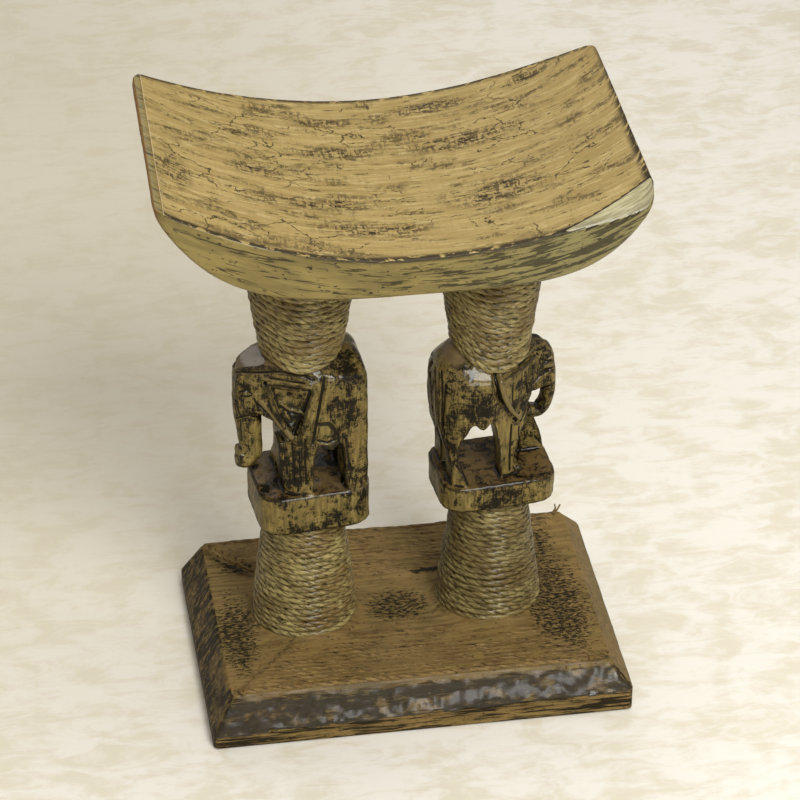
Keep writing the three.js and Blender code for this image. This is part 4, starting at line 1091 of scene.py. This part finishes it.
carvings = {}
for name, pillar in PILLARS.items():
    node = f"{name}_elephant_pillar"
    under, top = pillar["plinth"]
    crown = top + pillar["back"] + CROWN_ABOVE
    figure = merged_copy(node)
    cut_off(figure, under + 2 * CUT_INSET, True)
    cut_off(figure, crown, False)
    carved = clay(figure, f"{name}_elephant_carving")
    round_off(carved, pillar, top)
    ripple(carved, amount=0.5, size=12)
    ripple(carved, amount=0.16, size=4)
    carve(carved, pillar, STROKES[name])
    store(carved, "hollow", hollows(carved, FINE_ROUNDS) + 0.5 * hollows(carved, BROAD_ROUNDS))
    at, way = surface_of(carved)
    level = np.abs(at[:, 2] - top) < LEDGE_BAND
    store(carved, "ledge", np.clip((way[:, 2] - LEDGE_FROM) / LEDGE_FADE, 0, 1) * level)
    carvings[name] = carved
    finish_piece(f"{name}_elephant_carving", carved, carving_paint, "carved_wood", node)
    core, upper = merged_copy(node), merged_copy(node)
    cut_off(core, under + CUT_INSET, False)
    cut_off(upper, crown - CUT_INSET, True)
    core.from_mesh(mesh_of(upper, "neck_core"))
    core = mesh_of(core, f"{name}_pillar_core")
    finish_piece(f"{name}_pillar_core", core, carving_paint, "carved_wood", node, sharp=40)

# %% [markdown]
# ## Jute cord
# The cord is three plies of jute laid together, so its section is three soft lobes that
# turn as they run. The section is a small closed curve, to be swept along every route.

# %% Cord section
CORD = 5.4
PLIES = 3
PLY_DEPTH = 0.15
SECTION_STEPS = 18


def ply_reach(degrees):
    """How far the outline of the laid plies reaches from the cord's middle at an angle."""
    return CORD / 2 * (1 - PLY_DEPTH * (1 - abs(math.cos(math.radians(degrees) * PLIES / 2))))


SECTION_DEGREES = [360 * k / SECTION_STEPS for k in range(SECTION_STEPS)]


def cord_section():
    """The outline of three plies laid together, as a closed curve object."""
    data = bpy.data.curves.new("cord_section", "CURVE")
    spline = data.splines.new("POLY")
    spline.points.add(SECTION_STEPS - 1)
    for point, degrees in zip(spline.points, SECTION_DEGREES):
        angle, reach = math.radians(degrees), ply_reach(degrees) * MM
        point.co = (reach * math.cos(angle), reach * math.sin(angle), 0, 1)
    spline.use_cyclic_u = True
    return linked("cord_section", data)


section = cord_section()
print("the cord is", CORD, "mm thick over its plies and", round(2 * ply_reach(60), 2), "mm in the grooves")

# %% [markdown]
# ### Laid cord
# A curve with that section as its bevel and a growing tilt gives the lay, and the curve
# follows the winding. Each strand's own coordinates are kept for its fibres.

# %% Laid cord
LAY = 30.0
STEP = 0.85
LENGTH_SHIFT = 7.0
START_TURN = 0.37
SWAY_LENGTH, SWAY_TURN = 30, 2.2


def even_route(points, step):
    """A route resampled at even steps, in mm, with what it carries at each point."""
    points = np.array(points, float)
    lengths = np.linalg.norm(np.diff(points[:, :3], axis=0), axis=1)
    along = np.concatenate([[0], np.cumsum(lengths)])
    count = max(2, int(along[-1] / step))
    at = np.linspace(0, along[-1], count + 1)
    return np.stack([np.interp(at, along, points[:, k]) for k in range(points.shape[1])], 1), at


def lay_cord(name, routes):
    """One mesh of twisted cord along routes of (x, y, z, thickness) in mm."""
    data = bpy.data.curves.new(name, "CURVE")
    data.dimensions = "3D"
    data.bevel_mode = "OBJECT"
    data.bevel_object = section
    data.twist_mode = "MINIMUM"
    reaches = np.array([ply_reach(degrees) for degrees in SECTION_DEGREES])
    sunk = (reaches.max() - reaches) / (reaches.max() - reaches.min())
    strands, grooves, length = [], [], 0.0
    for number, route in enumerate(routes):
        points, along = even_route(route, STEP)
        length += along[-1]
        ring = len(sunk)
        strands.append(np.stack([np.repeat(along, ring), np.tile(np.arange(ring), len(along)),
                                 np.full(ring * len(along), LENGTH_SHIFT * number)], 1))
        grooves.append(np.tile(sunk, len(along)))
        sway = np.array([noise.noise(Vector((s / SWAY_LENGTH, number * 5.3, 2.0))) for s in along])
        spline = data.splines.new("POLY")
        spline.points.add(len(points) - 1)
        flat = np.ones((len(points), 4))
        flat[:, :3] = points[:, :3] * MM
        spline.points.foreach_set("co", flat.ravel())
        spline.points.foreach_set("radius", points[:, 3])
        tilt = 2 * math.pi * (along / LAY + START_TURN * number) + SWAY_TURN * sway
        spline.points.foreach_set("tilt", tilt)
    curve = linked(name, data)
    graph = bpy.context.evaluated_depsgraph_get()
    made = bpy.data.meshes.new_from_object(curve.evaluated_get(graph))
    bpy.data.objects.remove(curve)
    bm = bmesh.new()
    bm.from_mesh(made)
    close_holes(bm)
    bmesh.ops.recalc_face_normals(bm, faces=bm.faces)
    bm.to_mesh(made)
    bm.free()
    strands, grooves = np.concatenate(strands), np.concatenate(grooves)
    if len(strands) != len(made.vertices):
        raise RuntimeError(f"{name}: {len(strands)} strand places for {len(made.vertices)} points")
    made.attributes.new("strand", "FLOAT_VECTOR", "POINT").data.foreach_set(
        "vector", (strands * MM).astype(np.float32).ravel())
    store(made, "hollow", grooves)
    print(f"{name}: {len(routes)} lengths of cord, {length / 1000:.2f} m in all")
    return made

# %% [markdown]
# ### Painted jute
# Jute is a dull, hairy bast fibre. Here it was painted with the wood: fibres show along each
# strand, and painted shade darkens the grooves between the plies, more in some patches than
# others, so the crests stand paler.

# %% Jute
JUTE_BROWN = "#6e5229"
# Where the cord of the right drum is darker: a place and its reach in mm.
DARKER_DRUM = ((80, 0, 85), (62, 62, 75))


def jute(name, deep, pale, groove, fleck, varnish, dash):
    """Jute of the given colours. groove is the colour of the painted shade in its grooves, and dash is the
    size of its dark flecks in mm.
    """
    material, tree = new_material(name)
    place = object_place(tree)
    strand, hollow = stored(tree, "strand", "Vector"), stored(tree, "hollow")
    fibre = noise_at(strand, (8, 1.3, 1.0), 4, 0.75)
    clouds = noise_at(place, (26, 26, 12), 3)
    lightened = noise_at(place, (5, 5, 3), 4, 0.7)
    level = weighed((fibre, 0.45), (clouds, 0.25), (lightened, 0.3))
    colour = tint(ramp(level, 0.41, 0.6), deep, pale)
    browned = ramp(noise_at(place, (30, 30, 22), 3), 0.42, 0.6, 0.0, 0.45)
    colour = tint(browned, colour, JUTE_BROWN)
    # Painted shade in the grooves between the plies, patchy along the cord.
    groove_shade = both(ramp(hollow, 0.35, 1.0), ramp(lightened, 0.36, 0.6, 1.0, 0.35))
    colour = tint(groove_shade, colour, groove)
    colour = tint(ramp(noise_at(place, dash, 4, 0.75), 0.58, 0.66, 0.0, 0.85), colour, fleck)
    colour = tint(both(near(place, *DARKER_DRUM), 0.42), colour, groove)
    height = combine("SUBTRACT", fibre, both(groove_shade, 0.4))
    varnished(colour, 0.5, height, relief_mm=0.5, varnish=varnish, varnish_roughness=0.2, shine=0.1)
    return material


wound_jute = jute("jute_wound_painted", deep="#5f502c", pale="#b0a068", groove="#241b0c",
                  fleck="#30260f", varnish=0.4, dash=(7, 7, 2.8))
laid_jute = jute("jute_laid_painted", deep="#5f4c2b", pale="#977c4c", groove="#45361e",
                 fleck="#1f170c", varnish=0.05, dash=(13, 3.2, 9))
print("jutes:", wound_jute.name, laid_jute.name)

# %% [markdown]
# ## The windings
# The cord climbs each drum in even turns from the base to the plinth. On a neck its first
# turns lie on the elephant's back, whose height a ray finds at each angle, and its last
# ones meet the flat underside of the seat.

# %% Windings
TURN_STEPS = 72
UNEVEN_TURNS = 2.7
RADIAL = 0.5
OVERLAP = 1.04
THICKER = 0.12
LOWEST_TURN = 32
RAY_START = 20
SUNK_IN = 0.35


def wobbled(turns, step, seed):
    """A small, smooth unevenness of a hand-laid turn, in mm."""
    return noise.noise(Vector((step * turns / UNEVEN_TURNS, seed, 0.5)))


def wind(name, turns, centre, radius_at, low_at, high_at, seed, uneven):
    """A cord wound in turns about a standing axis, from the heights low_at to high_at."""
    route = []
    for i in range(turns * TURN_STEPS + 1):
        angle = 2 * math.pi * (i % TURN_STEPS) / TURN_STEPS
        share = i / (turns * TURN_STEPS)
        low, high = low_at[i % TURN_STEPS], high_at[i % TURN_STEPS]
        z = low + (high - low) * share + uneven * wobbled(turns, share, seed)
        radius = radius_at(z) - CORD / 2 + RADIAL * wobbled(turns * 3, share, seed + 9)
        wide = max(1.0, OVERLAP * (high - low) / turns / CORD)
        wide *= 1 + THICKER * wobbled(turns * 5, share, seed + 5)
        route.append((centre + radius * math.cos(angle), radius * math.sin(angle), z, wide))
    return lay_cord(name, [route])


for name, pillar in PILLARS.items():
    under, top = pillar["plinth"]
    foot, head = DRUM_FOOT_RADIUS, pillar["drum_top"]
    low_z = base_high.z + CORD / 2
    high_z = under - CORD / 2
    drum = wind(f"{name}_drum_cord", pillar["drum_turns"], pillar["x"],
                lambda z: foot + (head - foot) * (z - base_high.z) / (under - base_high.z),
                [low_z] * TURN_STEPS, [high_z] * TURN_STEPS, seed=3.0 + pillar["x"], uneven=1.2)
    finish_piece(f"{name}_drum_cord", drum, wound_jute, "jute_cord", f"{name}_lower_winding")
    foot, head = pillar["neck"]
    crown = top + pillar["back"]
    centre = pillar["x"] + pillar["neck_x"]
    tree = surface_tree(carvings[name])
    lows, highs = [], []
    for i in range(TURN_STEPS):
        angle = 2 * math.pi * i / TURN_STEPS
        found = []
        for radius in (foot - CORD / 2, foot - 1):
            x, y = centre + radius * math.cos(angle), radius * math.sin(angle)
            hit = tree.ray_cast(Vector((x, y, crown + RAY_START)) * MM, Vector((0, 0, -1)))[0]
            found.append(max(hit.z / MM, crown - LOWEST_TURN) if hit else crown - LOWEST_TURN)
        lows.append(max(found) + SUNK_IN * CORD)
        outer = centre + head * math.cos(angle)
        highs.append(seat_underside(outer) - CORD / 2)
    smooth = [np.mean([lows[(i + k) % TURN_STEPS] for k in range(-3, 4)]) for i in range(TURN_STEPS)]
    neck = wind(f"{name}_neck_cord", pillar["neck_turns"], centre,
                lambda z: foot + (head - foot) * max(0.0, (z - crown) / (SEAT_UNDERSIDE - crown)),
                smooth, highs, seed=17.0 + pillar["x"], uneven=1.5)
    finish_piece(f"{name}_neck_cord", neck, wound_jute, "jute_cord", f"{name}_upper_winding")

# %% [markdown]
# ## The cord fields on the base
# Twelve lengths of the same cord lie side by side in front and behind, mitred at their ends
# like a picture frame, and stop where they meet a drum. Paint and glue fill the grooves.

# %% Cord fields
FIELD_ROWS = 12
FIELD_STEP = 3.0
DRUM_CLEARANCE = 2.5
ROW_LIFT, OUTER_ROW_LIFT = 0.2, 1.2
ROW_SWAY, SWAY_ALONG = 1.1, 26
ROW_RISE, RISE_ALONG = 0.7, 18
ROW_THICKNESS = 0.95
SHORTEST_ROW = 3


def field_routes(side):
    """The routes of the rows on one side of the base, in mm."""
    routes = []
    (outer_length, outer_edge), (inner_length, inner_edge) = FIELD_OUTER, FIELD_INNER
    pitch = (outer_edge - inner_edge) / FIELD_ROWS
    for row in range(FIELD_ROWS):
        y = inner_edge + pitch * (row + 0.5)
        share = (y - inner_edge) / (outer_edge - inner_edge)
        reach = (inner_length + (outer_length - inner_length) * share) / 2
        lift = OUTER_ROW_LIFT if row == FIELD_ROWS - 1 else ROW_LIFT
        span = []
        for x in np.arange(FIELD_CENTRE_X - reach, FIELD_CENTRE_X + reach, FIELD_STEP):
            if all(math.hypot(x - px, y) > DRUM_FOOT_RADIUS + DRUM_CLEARANCE for px in (LEFT_X, RIGHT_X)):
                sway = ROW_SWAY * noise.noise(Vector((x / SWAY_ALONG, row * 3.1, side)))
                rise = ROW_RISE * noise.noise(Vector((x / RISE_ALONG, row * 1.7, side + 4)))
                span.append((x, side * (y + sway), base_high.z + lift + rise, ROW_THICKNESS + 0.1 * rise))
            else:
                routes.append(span)
                span = []
        routes.append(span)
    return [route for route in routes if len(route) > SHORTEST_ROW]


for side, name in ((-1, "front"), (1, "rear")):
    rows = lay_cord(f"{name}_field_cords", field_routes(side))
    finish_piece(f"{name}_field_cords", rows, laid_jute, "jute_cord", f"{name}_cord_field")

# Loose ends of cord, as (x, y, z, thickness) along each, in mm and shares of the cord
LOOSE_ENDS = [
    [(138, -95, 43.0, 0.5), (145, -97, 44.0, 0.4), (151, -96, 44.6, 0.35), (153.5, -92, 44.2, 0.3),
     (151, -88.5, 43.4, 0.3), (147, -90, 43.0, 0.25)],
    [(146, 89, 42.5, 0.4), (150, 92, 43.8, 0.3), (153, 95, 46.5, 0.2)],
    [(147, 91, 42.5, 0.4), (149, 94, 43.8, 0.25), (149, 97, 45.8, 0.18)],
    [(-126, 87, 42.0, 0.6), (-117, 73, 43.6, 0.6), (-104, 59.5, 43.6, 0.55), (-93, 50, 42.2, 0.5)],
    [(-119, -93, 42.5, 0.5), (-121, -96.5, 43.5, 0.45), (-117.5, -99, 43.0, 0.4)],
]
loose = lay_cord("loose_cord_ends", LOOSE_ENDS)
finish_piece("loose_cord_ends", loose, laid_jute, "jute_cord", "front_cord_field")
bpy.data.objects.remove(section)

# %% [markdown]
# ## Hidden joinery
# Turned beech dowels and zinc-plated screws hold the stool together. They are CAD nodes
# whose shapes are right, so they only get their finishes.

# %% Joinery finishes
BEECH_PALE, BEECH_FLECK = "#d3ac7c", "#b48455"
ZINC_GREY = "#b9b7b0"
# Flecks of the beech and drawing lines of the screws, as a number to the metre along each axis.
BEECH_GRAIN, ZINC_GRAIN = (900, 900, 90), (1500, 1500, 150)


def beech():
    """Turned beech: pale, with darker flecks 1 mm wide and 11 mm long along the dowel."""
    material, tree = new_material("dowel_beech")
    stretched = add(tree, "ShaderNodeMapping", {"Vector": object_place(tree),
                                                "Scale": BEECH_GRAIN})["Vector"]
    flecks = add(tree, "ShaderNodeTexNoise", {"Vector": stretched, "Scale": 1.0, "Detail": 4.0})["Fac"]
    share = add(tree, "ShaderNodeMapRange", {"Value": flecks, "From Min": 0.4, "From Max": 0.62})["Result"]
    bump = add(tree, "ShaderNodeBump", {"Height": flecks, "Strength": 0.2, "Distance": 0.0002})["Normal"]
    shader = add(tree, "ShaderNodeBsdfPrincipled", {"Base Color": tint(share, BEECH_PALE, BEECH_FLECK),
                                                    "Roughness": 0.62, "Normal": bump})["BSDF"]
    add(tree, "ShaderNodeOutputMaterial", {"Surface": shader})
    return material


def zinc():
    """Zinc-plated screw steel: a cool grey metal with faint drawing lines."""
    material, tree = new_material("screw_zinc_steel")
    stretched = add(tree, "ShaderNodeMapping", {"Vector": object_place(tree),
                                                "Scale": ZINC_GRAIN})["Vector"]
    lines = add(tree, "ShaderNodeTexNoise", {"Vector": stretched, "Scale": 1.0, "Detail": 3.0})["Fac"]
    dull = add(tree, "ShaderNodeMapRange", {"Value": lines, "To Min": 0.28, "To Max": 0.5})["Result"]
    shader = add(tree, "ShaderNodeBsdfPrincipled", {"Base Color": linear(ZINC_GREY), "Metallic": 1.0,
                                                    "Roughness": dull})["BSDF"]
    add(tree, "ShaderNodeOutputMaterial", {"Surface": shader})
    return material


dowel_beech, screw_zinc = beech(), zinc()
for name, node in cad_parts.items():
    if "dowel" in name or "screw" in name:
        node.data.materials.clear()
        node.data.materials.append(dowel_beech if "dowel" in name else screw_zinc)
        print(name, "is", node.data.materials[0].name)

# %% [markdown]
# ## Floor and light
# The stool stood on a pale floor in soft studio light. The world gives the even part of it.
# A broad lamp and a fill in front give the varnish its highlights, one above lights the seat,
# and a weak one behind keeps the shadows open.

# %% Floor
FLOOR_CREAM, FLOOR_FLECK, FLOOR_SHADE = "#f3eee2", "#e6ddc7", "#cfc4a9"
# Where painted shade darkens the floor: a place and its reach in mm.
SHADED_PLACE = ((-480, 640, 0), (980, 980, 400))
FLOOR_HALF = 6.0


def floor_material():
    """A cream floor with a faint mottling, and painted shade that darkens it behind the stool on the left.
    """
    material, tree = new_material("cream_floor")
    place = object_place(tree)
    clouds = noise_at(place, (60, 80, 60), 5, 0.65, 0.5)
    fibres = noise_at(place, (40, 16, 20), 5, 0.7, 0.8, (0, 0, -0.7))
    mixed = weighed((clouds, 0.45), (fibres, 0.55))
    colour = tint(ramp(mixed, 0.44, 0.6), FLOOR_CREAM, FLOOR_FLECK)
    colour = tint(both(near(place, *SHADED_PLACE), 0.65), colour, FLOOR_SHADE)
    shader = add(tree, "ShaderNodeBsdfPrincipled", {"Base Color": colour, "Roughness": 0.8})["BSDF"]
    add(tree, "ShaderNodeOutputMaterial", {"Surface": shader})
    return material


ground = bmesh.new()
bmesh.ops.create_grid(ground, x_segments=1, y_segments=1, size=FLOOR_HALF)
floor = linked("floor", mesh_of(ground, "floor"))
floor.data.materials.append(floor_material())
print("the floor reaches", FLOOR_HALF, "m to each side")

# %% Lights
WORLD_WHITE, WORLD_STRENGTH = "#fbf8f0", 0.28


def lamp(name, size, power, place, target=(0.0, 0.0, 0.2)):
    """A square soft lamp of a size in m and a power in W, which faces a target."""
    data = bpy.data.lights.new(name, "AREA")
    data.size = size
    data.energy = power
    way = Vector(target) - Vector(place)
    turned = way.to_track_quat("-Z", "Y").to_matrix().to_4x4()
    linked(name, data).matrix_world = Matrix.Translation(place) @ turned


lamp("front_softbox", 1.0, 46.0, (0.5, -1.65, 2.15))
lamp("front_fill", 0.8, 13.0, (0.45, -2.4, 1.15))
lamp("top_softbox", 1.8, 22.0, (0.3, 0.3, 2.6))
lamp("rear_softbox", 1.4, 8.0, (-0.4, 2.0, 1.9))
world = bpy.data.worlds.new("studio")
world.use_nodes = True
sky = world.node_tree.nodes["Background"].inputs
sky["Color"].default_value = linear(WORLD_WHITE)
sky["Strength"].default_value = WORLD_STRENGTH
bpy.context.scene.world = world
print("lamps:", [data.name for data in bpy.data.lights])
